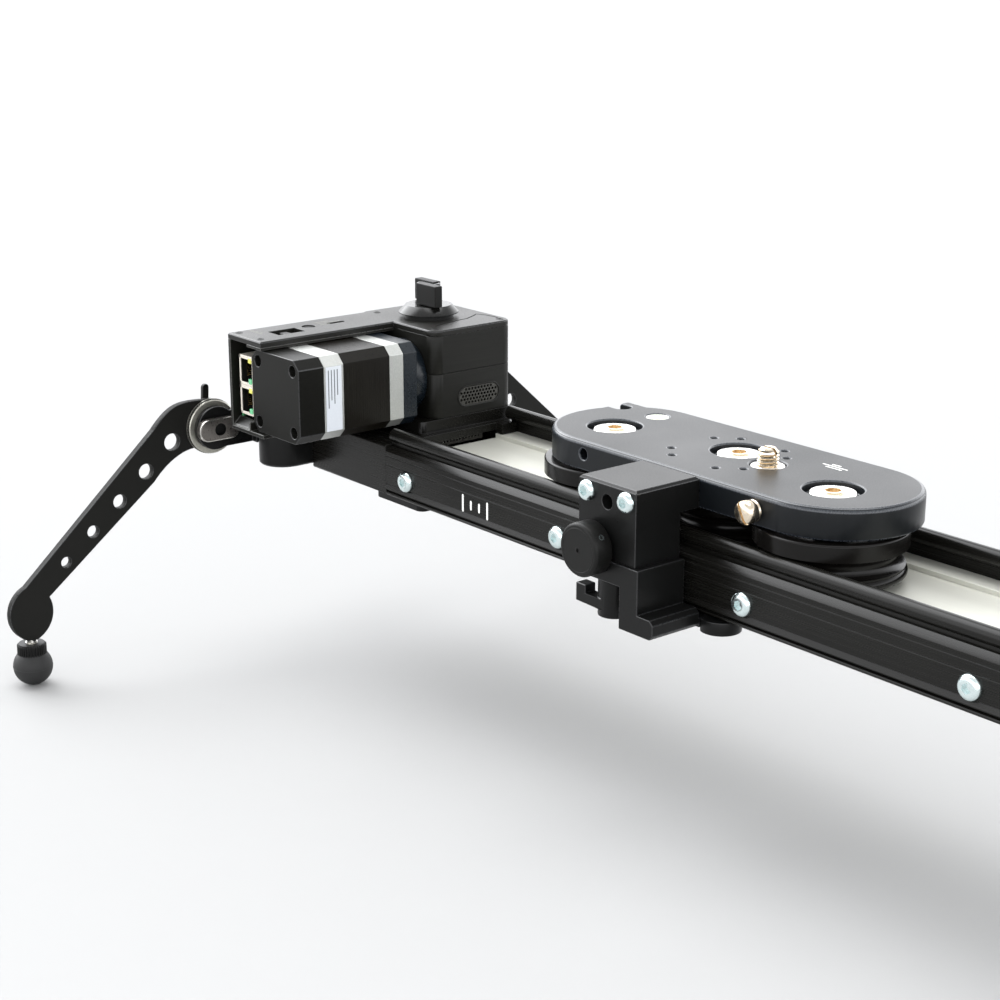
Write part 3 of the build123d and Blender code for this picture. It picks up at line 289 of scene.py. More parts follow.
def screw_thread(bm, root, crest, pitch, low, high, matrix):
    """Adds a helical thread that fades out at both ends."""
    segments = 40
    steps = int((high - low) / pitch * segments)
    # one ridge, as shares of the thread's depth and of its pitch
    shape = [(0.0, -0.5), (1.0, -0.14), (1.0, 0.14), (0.0, 0.5)]
    strips = []
    for k in range(steps + 1):
        angle = math.tau * k / segments
        centre = low + pitch * k / segments
        fade = min(1.0, k / segments, (steps - k) / segments)
        points = []
        for lift, along in shape:
            z = min(max(centre + along * pitch, low), high)
            points.append(on_circle(root + (crest - root) * lift * fade, angle, z))
        strips.append(ring(bm, matrix, points))
    for a, b in zip(strips, strips[1:]):
        for i in range(len(shape) - 1):
            bm.faces.new([a[i], b[i], b[i + 1], a[i + 1]])


def knurled(bm, bore, root, crest, teeth, low, high, matrix, chamfer):
    """Adds a ring with straight teeth round its outside and chamfered rims."""
    shares = (0.0, 0.35, 0.5, 0.85)
    angles = [math.tau * (i + share) / teeth for i in range(teeth) for share in shares]
    rings = []
    for z, trim in ((low, chamfer), (low + chamfer, 0.0), (high - chamfer, 0.0), (high, chamfer)):
        peak = crest - trim
        valley = min(root, peak)
        radii = (peak, peak, valley, valley) * teeth
        rings.append(ring(bm, matrix, [on_circle(r, angle, z) for r, angle in zip(radii, angles)]))
    for z in (high, low):
        rings.append(ring(bm, matrix, [on_circle(bore, angle, z) for angle in angles]))
    bridge(bm, rings + rings[:1])


def hex_socket(bm, matrix, rim, apothem, top, depth, slot=0):
    """Closes the top of a turned head with a flat rim round a hexagonal hole."""
    sixth = math.tau / 6
    angles = [math.tau * i / HEAD_SEGMENTS for i in range(HEAD_SEGMENTS)]
    hexagon = [apothem / math.cos((angle + sixth / 2) % sixth - sixth / 2) for angle in angles]
    rings = []
    for radii, height in (([rim] * HEAD_SEGMENTS, top), (hexagon, top), (hexagon, top - depth)):
        rings.append(ring(bm, matrix, [on_circle(r, angle, height) for r, angle in zip(radii, angles)]))
    bridge(bm, rings, slot)
    bm.faces.new(rings[-1]).material_index = slot


def solids(node):
    """Boxes of the separate solids in a CAD node, as sorted (lowest corner, highest corner) pairs."""
    bm = bmesh.new()
    bm.from_mesh(NODES[node].data)
    bmesh.ops.remove_doubles(bm, verts=bm.verts, dist=1e-6)
    unseen = set(bm.verts)
    boxes = []
    while unseen:
        front = [unseen.pop()]
        places = []
        while front:
            vert = front.pop()
            places.append(vert.co.copy())
            near = {edge.other_vert(vert) for edge in vert.link_edges} & unseen
            unseen -= near
            front.extend(near)
        boxes.append((Vector(map(min, zip(*places))), Vector(map(max, zip(*places)))))
    bm.free()
    return sorted(boxes, key=lambda box: tuple(box[0]))


def new_object(name, data):
    """An object in the scene for a mesh, curve, light or camera."""
    obj = bpy.data.objects.new(name, data)
    bpy.context.scene.collection.objects.link(obj)
    return obj


def new_mesh(name, bm):
    """Moves a bmesh into a new mesh."""
    mesh = bpy.data.meshes.new(name)
    bm.to_mesh(mesh)
    bm.free()
    return mesh


def evaluated_mesh(obj):
    """A mesh of what an object looks like after its modifiers or its fill."""
    return bpy.data.meshes.new_from_object(obj.evaluated_get(bpy.context.evaluated_depsgraph_get()))


def round_edges(obj, width, segments, angle=SHARP_ANGLE):
    """Rounds the edges that turn by more than an angle in degrees."""
    bevel = obj.modifiers.new("bevel", "BEVEL")
    bevel.width = width
    bevel.segments = segments
    bevel.limit_method = "ANGLE"
    bevel.angle_limit = math.radians(angle)
    bevel.use_clamp_overlap = False
    bevel.harden_normals = True
    return bevel


def piece(name, bm, materials, body, replaces=(), smooth=SHARP_ANGLE, bevel=0.0, segments=2):
    """Turns a bmesh into a named piece that rides on a body."""
    bmesh.ops.remove_doubles(bm, verts=bm.verts, dist=WELD)
    bmesh.ops.recalc_face_normals(bm, faces=bm.faces)
    obj = placed(name, new_mesh(name, bm), materials, body, replaces, smooth)
    if bevel:
        round_edges(obj, bevel, segments, smooth)
    return obj


def placed(name, mesh, materials, body, replaces, smooth=SHARP_ANGLE):
    """Makes a mesh a named piece of the model, smooth except where it turns by more than an angle."""
    for material in materials:
        mesh.materials.append(material)
    mesh.shade_smooth()
    mesh.set_sharp_from_angle(angle=math.radians(smooth))
    obj = new_object(name, mesh)
    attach(obj, body)
    if replaces:
        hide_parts(*replaces)
    return obj


def pierced_sheet(name, loops, thickness, matrix, replaces=()):
    """A flat grille sheet cut to its first outline, with every further outline as a hole through it."""
    curve = bpy.data.curves.new(name + "_outline", "CURVE")
    curve.dimensions = "2D"
    curve.fill_mode = "BOTH"
    for loop in loops:
        spline = curve.splines.new("POLY")
        spline.points.add(len(loop) - 1)
        spline.use_cyclic_u = True
        for point, (x, y) in zip(spline.points, loop):
            point.co = (x, y, 0, 1)
    curve.extrude = thickness / 2
    obj = new_object(name + "_outline", curve)
    mesh = evaluated_mesh(obj)
    bpy.data.objects.remove(obj)
    bpy.data.curves.remove(curve)
    mesh.transform(matrix)
    placed(name, mesh, [GRILLE], "frame", replaces)


def carve(obj, cutter_bm):
    """Cuts a bmesh out of a piece for good."""
    bmesh.ops.recalc_face_normals(cutter_bm, faces=cutter_bm.faces)
    cutter = new_object("cutter", new_mesh("cutter", cutter_bm))
    modifier = obj.modifiers.new("cut", "BOOLEAN")
    modifier.operation = "DIFFERENCE"
    modifier.solver = "EXACT"
    modifier.object = cutter
    result = evaluated_mesh(obj)
    obj.modifiers.remove(modifier)
    obj.data = result
    bpy.data.objects.remove(cutter)
    obj.data.set_sharp_from_angle(angle=math.radians(SHARP_ANGLE))


def mid(node):
    """Middle of a CAD node's box."""
    low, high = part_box(node)
    return (low + high) / 2


def upright(node, height=0.0):
    """Matrix with its origin at a height on the upright line through the middle of a CAD node."""
    centre = mid(node)
    return Matrix.Translation((centre.x, centre.y, height))


def facing_idler_end(x, y, z):
    """Matrix for a flat form that faces +X, its own X along the track's width and its Y upwards."""
    return Matrix(((0, 0, 1, x), (1, 0, 0, y), (0, 1, 0, z), (0, 0, 0, 1)))


# ---- CAD nodes that keep their shape ----
def dress(node, material, edge=None, width=0.25 * MM, segments=2):
    """Gives a CAD node its material, with rounded edges that may take a lighter copy of it as a painted
    highlight.
    """
    obj = NODES[node]
    obj.data.materials.clear()
    obj.data.materials.append(material)
    weld = obj.modifiers.new("weld", "WELD")
    weld.merge_threshold = WELD
    flatten = obj.modifiers.new("flatten", "DECIMATE")
    flatten.decimate_type = "DISSOLVE"
    flatten.angle_limit = math.radians(0.5)
    bevel = round_edges(obj, width, segments)
    # the bevels take slot 1, a lighter edge material: a painted highlight
    if edge:
        obj.data.materials.append(edge)
        bevel.material = 1


def dress_cad_nodes():
    dress("bed_plate", BED_SILVER, None, 0.2 * MM)
    for node in ("drive_base", "idler_base"):
        dress(node, ANODISED, None, 0.3 * MM)
    for node in ("end_bars", "tripod_blocks", "leg_brackets", "brake_block"):
        dress(node, MACHINED, MACHINED_EDGE_HIGHLIGHT, 0.3 * MM)
    for corner in CORNERS:
        dress(corner + "_leg", LEG_BLACK, MACHINED_EDGE_HIGHLIGHT, 0.4 * MM)
    dress("carriage_plate", PLATE_BLACK, PLATE_EDGE_HIGHLIGHT, 0.75 * MM, 3)
    dress("brake_arm", MACHINED, MACHINED_EDGE_HIGHLIGHT, 0.4 * MM)
    dress("belt_clamp", MACHINED, MACHINED_EDGE_HIGHLIGHT)
    dress("brake_knob", KNOB, None, 0.5 * MM, 3)
    dress("motor_end_cap", MOTOR_BLACK, MACHINED_EDGE_HIGHLIGHT, 0.4 * MM)
    dress("motor_bells", MOTOR_CAST, None, 0.3 * MM)
    for node in ("roller_bearings", "motor_screws", "motor_rotor", "gearbox_output", "drive_shaft",
                 "idler_axle"):
        dress(node, STEEL)
    for node in ("gearbox_flange", "gearbox_body"):
        dress(node, GEAR_BLUE, None, 0.4 * MM)
    for node in ("lower_housing", "upper_housing"):
        dress(node, PRINTED, None, 0.4 * MM)
    dress("top_plate", LID, MACHINED_EDGE_HIGHLIGHT)
    dress("controller_case", LID, CASE_EDGE_HIGHLIGHT, 0.3 * MM)
    dress("circuit_board", BOARD)
    for node in ("power_button", "mode_switch"):
        dress(node, KNOB)


# ---- track ----
def rail(node, side):
    """Extruded rail with its bead, its ledge and the fine steps and grooves along its outer face."""
    low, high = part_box(node)
    bead = (6.0 * MM, high.z - BEAD_R)
    ledge = bead[1] - 4.1 * MM
    screw_line = ledge - 15.5 * MM
    outline = offsets(0, low.z, [(12, 0.3), (12, 3), (5, 3), (4.4, 3.6)])
    outline += offsets(0, ledge, [(4.4, 0), (5.7, 0.7)])
    outline += arc(bead, BEAD_R, -80, 236, 40)
    outline += offsets(0, ledge, [(3.9, -0.7), (3.4, -1.0), (3.0, -0.5), (2.5, -0.45), (2.2, -0.65),
                                  (0.3, -2.75), (0, -3.2)])
    for groove_at in (9.9, 5.4):
        outline += offsets(0, screw_line + groove_at * MM, [(0, 0.25), (0.12, 0), (0, -0.25)])
    flare = screw_line - 4.8 * MM
    outline += offsets(0, flare, [(0, 0.5), (0.35, 0.2), (0.2, -0.1), (-0.75, -2.0), (-0.75, -2.3),
                                  (1.2, -2.5), (1.2, -3.5), (-0.3, -3.8), (-0.6, -4.3), (-0.5, -4.7)])
    outline += offsets(0, low.z, [(0.1, 0.7), (0.6, 0), (11.7, 0)])
    bm = bmesh.new()
    face = low.y if side < 0 else high.y
    ends = []
    for x in (low.x, high.x):
        ends.append(ring(bm, Matrix(), [(x, face - side * depth, z) for depth, z in outline]))
    bridge(bm, ends)
    bm.faces.new(ends[0][::-1])
    bm.faces.new(ends[1])
    piece(node + "_extrusion", bm, [ANODISED], "frame", (node,), smooth=25)


def scale_bars():
    """Plain white bars on the near rail's face that stand in for its printed length."""
    low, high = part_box("near_rail")
    first_x = -358.5 * MM
    spacing = 6.2 * MM
    centre_z = high.z - 23.1 * MM
    turn = Matrix.Rotation(math.radians(90), 4, "X") @ Matrix.Rotation(math.radians(90), 4, "Z")
    bm = bmesh.new()
    for i, length in enumerate((8.8, 4.8, 4.8, 8.8)):
        place = Matrix.Translation((first_x + i * spacing, low.y, centre_z))
        prism(bm, stadium(0, 0, length * MM, 1.3 * MM, 8), -0.02 * MM, 0.05 * MM, place @ turn)
    piece("rail_scale_bars", bm, [PRINT_WHITE], "frame")


def button_screws(name, node, body):
    """Turned button heads with hexagonal sockets, one for each screw in a CAD node."""
    head_height = 2.75 * MM
    shank = 2.4 * MM
    rim = 2.8 * MM
    bm = bmesh.new()
    for low, high in solids(node):
        centre = (low + high) / 2
        out = math.copysign(1, centre.y)
        tip = high.y if out > 0 else low.y
        matrix = turn_to((0, out, 0), (centre.x, tip, centre.z))
        head_r = (high.x - low.x) / 2
        profile = [(0, low.y - high.y), (shank, low.y - high.y), (shank, -head_height),
                   (head_r - 0.15 * MM, -head_height)]
        for i in range(10):
            angle = math.radians(10 * i)
            lift = (head_height - 0.3 * MM) * (1 - math.sin(angle))
            profile.append((rim + (head_r - rim) * math.cos(angle), -lift))
        lathe(bm, profile, matrix, HEAD_SEGMENTS)
        hex_socket(bm, matrix, rim, 1.95 * MM, 0.0, 1.6 * MM)
    piece(name, bm, [ZINC], body, (node,), smooth=40)


def rosettes():
    """Bright friction washer with a knurled rim between each bracket and its leg."""
    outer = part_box("hub_rosettes")[1].x
    thick = 2.7 * MM
    bore = 4.1 * MM
    band_low = 0.8 * MM
    band_high = thick - 0.6 * MM
    washer = [(bore, 0), (13.9 * MM, 0), (14.4 * MM, 0.4 * MM), (14.4 * MM, band_low), (bore, band_low)]
    rim = [(bore, band_high), (14.8 * MM, band_high), (14.8 * MM, thick - 0.1 * MM), (14.6 * MM, thick),
           (bore, thick)]
    dark = bmesh.new()
    light = bmesh.new()
    for corner in CORNERS:
        hub = HUBS[corner]
        sign = math.copysign(1, hub.x)
        matrix = turn_to((sign, 0, 0), (sign * (outer - thick), hub.y, hub.z))
        lathe(light, washer, matrix, 80, closed=True)
        knurled(dark, bore, 14.0 * MM, 14.6 * MM, 64, band_low, band_high, matrix, 0.2 * MM)
        lathe(light, rim, matrix, 80, closed=True)
    piece("hub_knurled_rings", dark, [KNOB], "frame", ("hub_rosettes",))
    piece("hub_washers", light, [ROSETTE], "frame")


def clamp(corner):
    """Cross bolt: plated grip bar with a lighter chamfer painted as a highlight, a dark lining painted as
    shade in its bore, shank, and a short dark lever outside.
    """
    node = corner + "_clamp"
    low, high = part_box(node)
    hub = HUBS[corner]
    end = math.copysign(1, hub.x)
    inner, outer = (high.x, low.x) if end < 0 else (low.x, high.x)
    # local frame: Z runs from the grip's face out to the lever, X is up, Y follows the track's width
    matrix = Matrix(((0, 0, end, inner), (0, 1, 0, hub.y), (1, 0, 0, hub.z), (0, 0, 0, 1)))
    thick = 3.4 * MM
    length = 25.0 * MM
    height = 11.8 * MM
    bore = 3.3 * MM
    bore_floor = 2.4 * MM
    chamfer = 0.7 * MM
    angles = [math.tau * i / 96 for i in range(96)]
    rings = []
    bm = bmesh.new()
    for trim, z in ((0.0, thick), (0.0, chamfer), (0.2 * chamfer, 0.3 * chamfer), (chamfer, 0.0)):
        reaches = [stadium_reach(length - 2 * trim, height - 2 * trim, angle) for angle in angles]
        rings.append(ring(bm, matrix, [(reach * math.sin(angle), reach * math.cos(angle), z)
                                       for reach, angle in zip(reaches, angles)]))
    for z in (0.0, bore_floor):
        rings.append(ring(bm, matrix, [(bore * math.sin(angle), bore * math.cos(angle), z)
                                       for angle in angles]))
    bridge(bm, rings[:2])
    # the chamfer band takes slot 1, the lighter metal: a painted highlight
    bridge(bm, rings[1:4], 1)
    bridge(bm, rings[3:])
    bm.faces.new(rings[0])
    bm.faces.new(rings[-1])
    piece(node + "_grip", bm, [GUN_METAL, CLAMP_EDGE_HIGHLIGHT], node, (node,), smooth=30)

    bm = bmesh.new()
    reach = abs(outer - inner)
    # dark lining over the bore's walls and floor: painted shade in the recess
    shade_lining = bore - 0.1 * MM
    lathe(bm, [(0, 2.35 * MM), (shade_lining, 2.35 * MM), (shade_lining, 0.25 * MM), (bore + 0.02 * MM, 0.05 * MM)],
          matrix, 48)
    shank = 4.0 * MM
    cap = 8.0 * MM
    profile = [(shank, thick), (shank, reach - 3.2 * MM)]
    profile += offsets(cap, reach, [(-0.4, -3.2), (0, -2.8), (0, -0.5), (-0.5, 0)]) + [(0, reach)]
    lathe(bm, profile, matrix, 64)
    tilt = math.radians(3)
    side = math.copysign(1, hub.y)
    lever = []
    for x, y in stadium(0, 0, 17.0 * MM, 3.6 * MM, 10):
        lift = x + 13.0 * MM
        lever.append((lift * math.cos(tilt), y * math.cos(tilt) - side * lift * math.sin(tilt)))
    prism(bm, lever, reach - 2.8 * MM, reach - 0.4 * MM, matrix)
    piece(node + "_lever", bm, [KNOB], node, bevel=0.3 * MM)


def foot(corner):
    """Ball foot: bare thread, knurled collar and a moulded rubber ball."""
    node = corner + "_foot"
    low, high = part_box(node)
    base = upright(node, low.z)
    ball_r = (high.x - low.x) / 2
    neck_r = 4.8 * MM
    neck_top = 17.8 * MM
    bm = bmesh.new()
    ball = [(0, 0)]
    for i in range(1, 22):
        angle = math.radians(-90 + 7.0 * i)
        ball.append((ball_r * math.cos(angle), ball_r + ball_r * math.sin(angle)))
    lathe(bm, ball + [(neck_r, neck_top), (0, neck_top)], base, 64)
    # a fine moulding ring round the ball's middle
    lathe(bm, offsets(ball_r, ball_r, [(-0.15, -0.35), (0.1, 0), (-0.15, 0.35)]), base, 64)
    piece(node + "_ball", bm, [RUBBER], node, (node,))
    collar_low = 15.6 * MM
    collar_high = 22.4 * MM
    bm = bmesh.new()
    knurled(bm, 2.4 * MM, 6.9 * MM, 7.4 * MM, 34, collar_low, collar_high, base, 0.9 * MM)
    piece(node + "_collar", bm, [KNOB], node)
    bm = bmesh.new()
    top = high.z - low.z
    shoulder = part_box(corner + "_leg")[0].z - 0.4 * MM - low.z
    core_r = 2.5 * MM
    tip_r = 1.25 * MM
    lathe(bm, [(0, collar_high - 1 * MM), (core_r, collar_high - 1 * MM), (core_r, shoulder),
               (tip_r, shoulder), (tip_r, top), (0, top)], base, 32)
    screw_thread(bm, core_r, 3.0 * MM, 0.5 * MM, collar_high - 0.5 * MM, shoulder, base)
    piece(node + "_stud", bm, [STEEL], node)


# ---- carriage ----
def roller(node):
    """Turned roller: flat disc, bead groove, rounded lower flange and fine turned steps."""
    low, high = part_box(node)
    outer = (high.x - low.x) / 2
    bead_z = RAIL_HIGH.z - BEAD_R - low.z
    top = high.z - low.z
    groove_r = 3.8 * MM
    lip = outer - 1.15 * MM
    flange = outer - 0.6 * MM
    bore = 11.1 * MM
    rim_r = 0.9 * MM
    profile = [(bore, top - 0.4 * MM), (bore + 0.4 * MM, top)]
    profile += offsets(0, top, [(20, 0), (20.3, -0.25), (23, -0.25), (23.3, 0)])
    profile += [(outer - rim_r, top)]
    profile += arc((outer - rim_r, top - rim_r), rim_r, 80, 0, 5)
    profile += [(outer, bead_z + groove_r + 0.5 * MM)]
    profile += arc((lip, bead_z), groove_r, 88, 268, 26)
    profile += arc((flange - 2.0 * MM, 2.4 * MM), 2.2 * MM, 60, -80, 14)
    profile += [(flange - 3.2 * MM, 0), (bore + 0.4 * MM, 0), (bore, 0.4 * MM)]
    bm = bmesh.new()
    lathe(bm, profile, upright(node, low.z), 160, closed=True)
    piece(node + "_turned", bm, [ROLLER], node, (node,), smooth=40)


def axle_bolts():
    """Bright washers and warm hex-socket bolt heads, nearly flush in the plate's three recesses."""
    low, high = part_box("axle_bolts")
    top = high.z
    seat = top - 3.6 * MM
    flat = top - 0.7 * MM
    shank = 4.0 * MM
    washer_r = 9.9 * MM
    rim = 0.4 * MM
    socket_rim = 4.1 * MM
    nut_r = 7.0 * MM
    nut_top = low.z + 2.1 * MM
    washer = [(shank, seat), (washer_r - rim, seat), (washer_r, seat + rim), (washer_r, flat - rim),
              (washer_r - rim, flat)]
    washer += offsets(0, flat, [(8.5, 0), (8.3, -0.15), (7.9, -0.15), (7.7, 0)]) + [(shank, flat)]
    head = [(0, seat), (5.1 * MM, seat), (5.1 * MM, top - 0.5 * MM), (4.7 * MM, top), (socket_rim, top)]
    nut = [(0, low.z), (nut_r - 0.6 * MM, low.z), (nut_r, low.z + 0.5 * MM), (nut_r, nut_top),
           (shank, nut_top), (shank, seat + 0.5 * MM)]
    bm = bmesh.new()
    for node in ROLLERS:
        base = upright(node)
        lathe(bm, washer, base, 96, closed=True)
        lathe(bm, head, base, HEAD_SEGMENTS, 1)
        hex_socket(bm, base, socket_rim, 3.1 * MM, top, 2.2 * MM, 1)
        lathe(bm, nut, base, HEAD_SEGMENTS)
    piece("axle_bolt_set", bm, [STEEL, WARM_STEEL], "carriage", ("axle_bolts",))


def camera_screw():
    """Slotted stud with a real helical thread, standing out of its bright flange."""
    node = "camera_screw"
    low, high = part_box(node)
    centre = mid(node)
    base = upright(node)
    root = 3.9 * MM
    crest = 4.76 * MM
    pitch = 1.59 * MM
    flange_top = PLATE_HIGH.z - 0.6 * MM
    bm = bmesh.new()
    lathe(bm, [(0, low.z), (root, low.z), (root, high.z - 0.9 * MM), (root - 0.8 * MM, high.z), (0, high.z)],
          base, 48)
    screw_thread(bm, root, crest, pitch, flange_top - 2 * MM, high.z - 0.5 * MM, base)
    stud = piece("camera_stud_thread", bm, [NICKEL], node, (node,), smooth=50)
    half = Vector((6, 0.7, 0)) * MM
    slot_bm = bmesh.new()
    brick(slot_bm, (centre.x - half.x, centre.y - half.y, high.z - 3 * MM),
          (centre.x + half.x, centre.y + half.y, high.z + 1 * MM))
    carve(stud, slot_bm)
    bm = bmesh.new()
    flange = [(root, -1.8 * MM)]
    flange += offsets(0, 0, [(7.7, -1.8), (7.7, -0.4), (7.3, 0), (6.3, 0), (6.1, -0.2), (5.4, -0.2),
                             (5.2, 0)])
    flange += [(root, 0)]
    lathe(bm, flange, upright(node, flange_top), 64, closed=True)
    piece("camera_stud_flange", bm, [STEEL], node)


def spare_screw():
    """Slotted, knurled screw parked in the plate's near edge."""
    node = "spare_camera_screw"
    low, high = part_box(node)
    centre = mid(node)
    head_r = (high.x - low.x) / 2
    matrix = turn_to((0, -1, 0), (centre.x, high.y, centre.z))
    length = high.y - low.y
    bm = bmesh.new()
    profile = offsets(0, 0, [(0, 0), (3.1, 0), (3.1, 8.6)])
    profile += offsets(head_r, 0, [(-0.8, 8.8), (-0.2, 9.6), (-0.5, 10.4), (0, 11.2)])
    profile += offsets(head_r, length, [(0, -1.8), (-0.5, -0.8), (-1.6, -0.1)]) + [(0, length)]
    lathe(bm, profile, matrix, 64)
    screw = piece("spare_screw_slotted", bm, [NICKEL], "carriage", (node,), smooth=40)
    half_long = 7 * MM
    half_wide = 0.65 * MM
    turn = matrix @ Matrix.Rotation(math.radians(118), 4, "Z")
    outline = [(-half_long, -half_wide), (half_long, -half_wide), (half_long, half_wide),
               (-half_long, half_wide)]
    slot_bm = bmesh.new()
    prism(slot_bm, outline, length - 2.1 * MM, length + 2 * MM, turn)
    carve(screw, slot_bm)


def bubble_level():
    """Level vial: white ring, clear green-yellow liquid disc and its bubble."""
    node = "bubble_level"
    low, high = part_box(node)
    centre = mid(node)
    base = upright(node)
    r = (high.x - low.x) / 2
    top = high.z
    floor_z = top - 0.3 * MM
    bm = bmesh.new()
    lathe(bm, [(0, low.z), (r, low.z), (r, top - 0.2 * MM), (r - 0.2 * MM, top), (r - 0.9 * MM, top),
               (r - 1.0 * MM, floor_z), (0, floor_z)], base, 64)
    piece("level_ring", bm, [LEVEL], "carriage", (node,))
    bm = bmesh.new()
    lathe(bm, [(0, floor_z), (r - 1.1 * MM, floor_z), (r - 1.6 * MM, top - 0.12 * MM), (0, top + 0.1 * MM)],
          base, 48)
    piece("level_liquid", bm, [LIQUID], "carriage")
    bm = bmesh.new()
    bubble = Matrix.Translation((centre.x + 0.8 * MM, centre.y + 0.5 * MM, 0))
    lathe(bm, offsets(0, top, [(0, 0.13), (1.2, 0.12), (1.35, 0.04)]), bubble, 24)
    lathe(bm, offsets(0, top, [(2.0, 0.1), (2.15, 0.12), (2.3, 0.1)]), base, 40)
    piece("level_bubble", bm, [PRINT_WHITE], "carriage")


def plate_marks():
    """Generic white bars near the plate's idler end, in place of a printed mark."""
    bm = bmesh.new()
    top = PLATE_HIGH.z
    x = PLATE_HIGH.x - 55 * MM
    y = 21 * MM
    for i, length in enumerate((5.0, 14.0, 9.0)):
        outline = stadium(x + i * 1.0 * MM, y - i * 2.2 * MM, length * MM, 0.8 * MM, 6)
        prism(bm, outline, top - 0.02 * MM, top + 0.04 * MM)
    piece("plate_marks", bm, [PRINT_WHITE], "carriage")


def brake_details():
    """Dimple, rim line and set screw of the brake knob."""
    low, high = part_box("brake_knob")
    centre = mid("brake_knob")
    r = (high.x - low.x) / 2
    matrix = turn_to((0, -1, 0), (centre.x, low.y, centre.z))
    bm = bmesh.new()
    lathe(bm, offsets(0, 0, [(0.9, -0.6), (0.9, 0.02), (1.3, 0.08), (1.6, 0)]), matrix, 32)
    lathe(bm, offsets(r, 0, [(-2.4, -0.02), (-2.2, 0.1), (-2.0, -0.02)]), matrix, 64)
    piece("brake_knob_ring", bm, [KNOB], "brake_knob")
    side = turn_to((0.80, 0, 0.60), (centre.x, low.y + 4.6 * MM, centre.z))
    outer_r = 1.3 * MM
    tip = r + 0.25 * MM
    bottom = r - 0.6 * MM
    bm = bmesh.new()
    lathe(bm, [(outer_r, r - 1 * MM), (outer_r, tip), (0.75 * MM, tip), (0.6 * MM, bottom), (0, bottom)],
          side, 24)
    piece("brake_knob_set_screw", bm, [ZINC], "brake_knob")


# ---- drive unit ----
def motor_stack():
    """Pressed laminations: thin square plates with bevelled corners, one behind the other."""
    low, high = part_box("motor_stack")
    cut = 4.5 * MM
    gap_depth = 0.13 * MM
    count = round((high.y - low.y) / (0.5 * MM))
    pitch = (high.y - low.y) / count
    bm = bmesh.new()
    rings = []
    for i in range(count):
        start = low.y + pitch * i
        gap = low.y + pitch * (i + 0.78)
        end = low.y + pitch * (i + 1)
        edge = 0.03 * MM * math.sin(i * 2.4) + 0.02 * MM
        for y, inset in ((start, edge), (gap, edge), (gap, gap_depth), (end, gap_depth)):
            left, right = low.x + inset, high.x - inset
            below, above = low.z + inset, high.z - inset
            corners = [(left, low.z + cut), (low.x + cut, below), (high.x - cut, below),
                       (right, low.z + cut), (right, high.z - cut), (high.x - cut, above),
                       (low.x + cut, above), (left, high.z - cut)]
            rings.append(ring(bm, Matrix(), [(x, y, z) for x, z in corners]))
    bridge(bm, rings)
    bm.faces.new(rings[0][::-1])
    bm.faces.new(rings[-1])
    piece("motor_laminations", bm, [LAMINATED], "frame", ("motor_stack",), smooth=20)


def motor_label():
    """Blank white label with plain grey rules, wrapped on the rear bell's side."""
    low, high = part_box("motor_bells")
    left = low.y + 0.9 * MM
    width = 9.4 * MM
    margin = 4.9 * MM
    bottom = low.z + margin
    tall = high.z - margin - bottom
    matrix = facing_idler_end(high.x, left, bottom)
    bm = bmesh.new()
    prism(bm, [(0, 0), (width, 0), (width, tall), (0, tall)], 0.0, 0.12 * MM, matrix)
    piece("motor_label", bm, [LABEL], "frame", bevel=0.04 * MM, segments=1)
    rule_width = 0.55 * MM
    rule_end = 0.95 * tall
    bm = bmesh.new()
    for i, share in enumerate((0.36, 0.48, 0.42, 0.55)):
        y = (1.3 + 1.75 * i) * MM
        rule = [(y, tall * share), (y + rule_width, tall * share), (y + rule_width, rule_end), (y, rule_end)]
        prism(bm, rule, 0.10 * MM, 0.15 * MM, matrix)
    piece("motor_label_rules", bm, [LABEL_GREY], "frame")


def sieve_holes(rows, columns, pitch, radius, keep):
    """Staggered round holes, kept where a test of their centre says so."""
    holes = []
    for row in rows:
        for column in columns:
            x = (column + 0.5 * (row % 2)) * pitch
            y = row * pitch * 0.866
            if keep(x, y):
                holes.append(circle(x, y, radius, 10))
    return holes


def grilles():
    """The oval sieve in its raised rim on the housing, and the long sieve over the belt opening."""
    face = HOUSE_HIGH.x
    centre_y = 19.7 * MM
    centre_z = 139.2 * MM
    length = 26.0 * MM
    height = 9.7 * MM
    reach = (length - height) / 2
    pitch = 2.05 * MM
    hole = 0.78 * MM
    play = 0.1 * MM
    margin = 1.0 * MM
    sheet = [stadium(0, 0, length - play, height - play, 14)]
    sheet += sieve_holes(range(-3, 4), range(-8, 9), pitch, hole,
                         lambda x, y: math.hypot(max(0.0, abs(x) - reach), y) < height / 2 - margin)
    matrix = facing_idler_end(face - 0.45 * MM, centre_y, centre_z)
    pierced_sheet("housing_grille", sheet, 0.7 * MM, matrix, ("vent_grilles",))

    bm = bmesh.new()
    matrix = facing_idler_end(face, centre_y, centre_z)
    rings = []
    for wider, lift in ((1.6, -0.1), (1.6, 0.25), (1.0, 0.45), (0.0, 0.3), (0.0, -0.6)):
        loop = stadium(0, 0, length + wider * MM, height + wider * MM, 20)
        rings.append(ring(bm, matrix, [(x, y, lift * MM) for x, y in loop]))
    bridge(bm, rings)
    piece("grille_rim", bm, [PRINTED], "frame")

    low, high = max(solids("vent_grilles"), key=lambda box: box[1].y - box[0].y)
    width = high.y - low.y
    tall = high.z - low.z
    side_margin = 1.1 * MM
    top_margin = 0.3 * MM
    sheet = [[(0, 0), (width, 0), (width, tall), (0, tall)]]
    sheet += sieve_holes(range(1, 3), range(31), pitch, hole * 0.8,
                         lambda x, y: side_margin < x < width - side_margin and y < tall - top_margin)
    matrix = facing_idler_end((low.x + high.x) / 2, low.y, low.z)
    pierced_sheet("belt_opening_grille", sheet, 0.8 * MM, matrix)


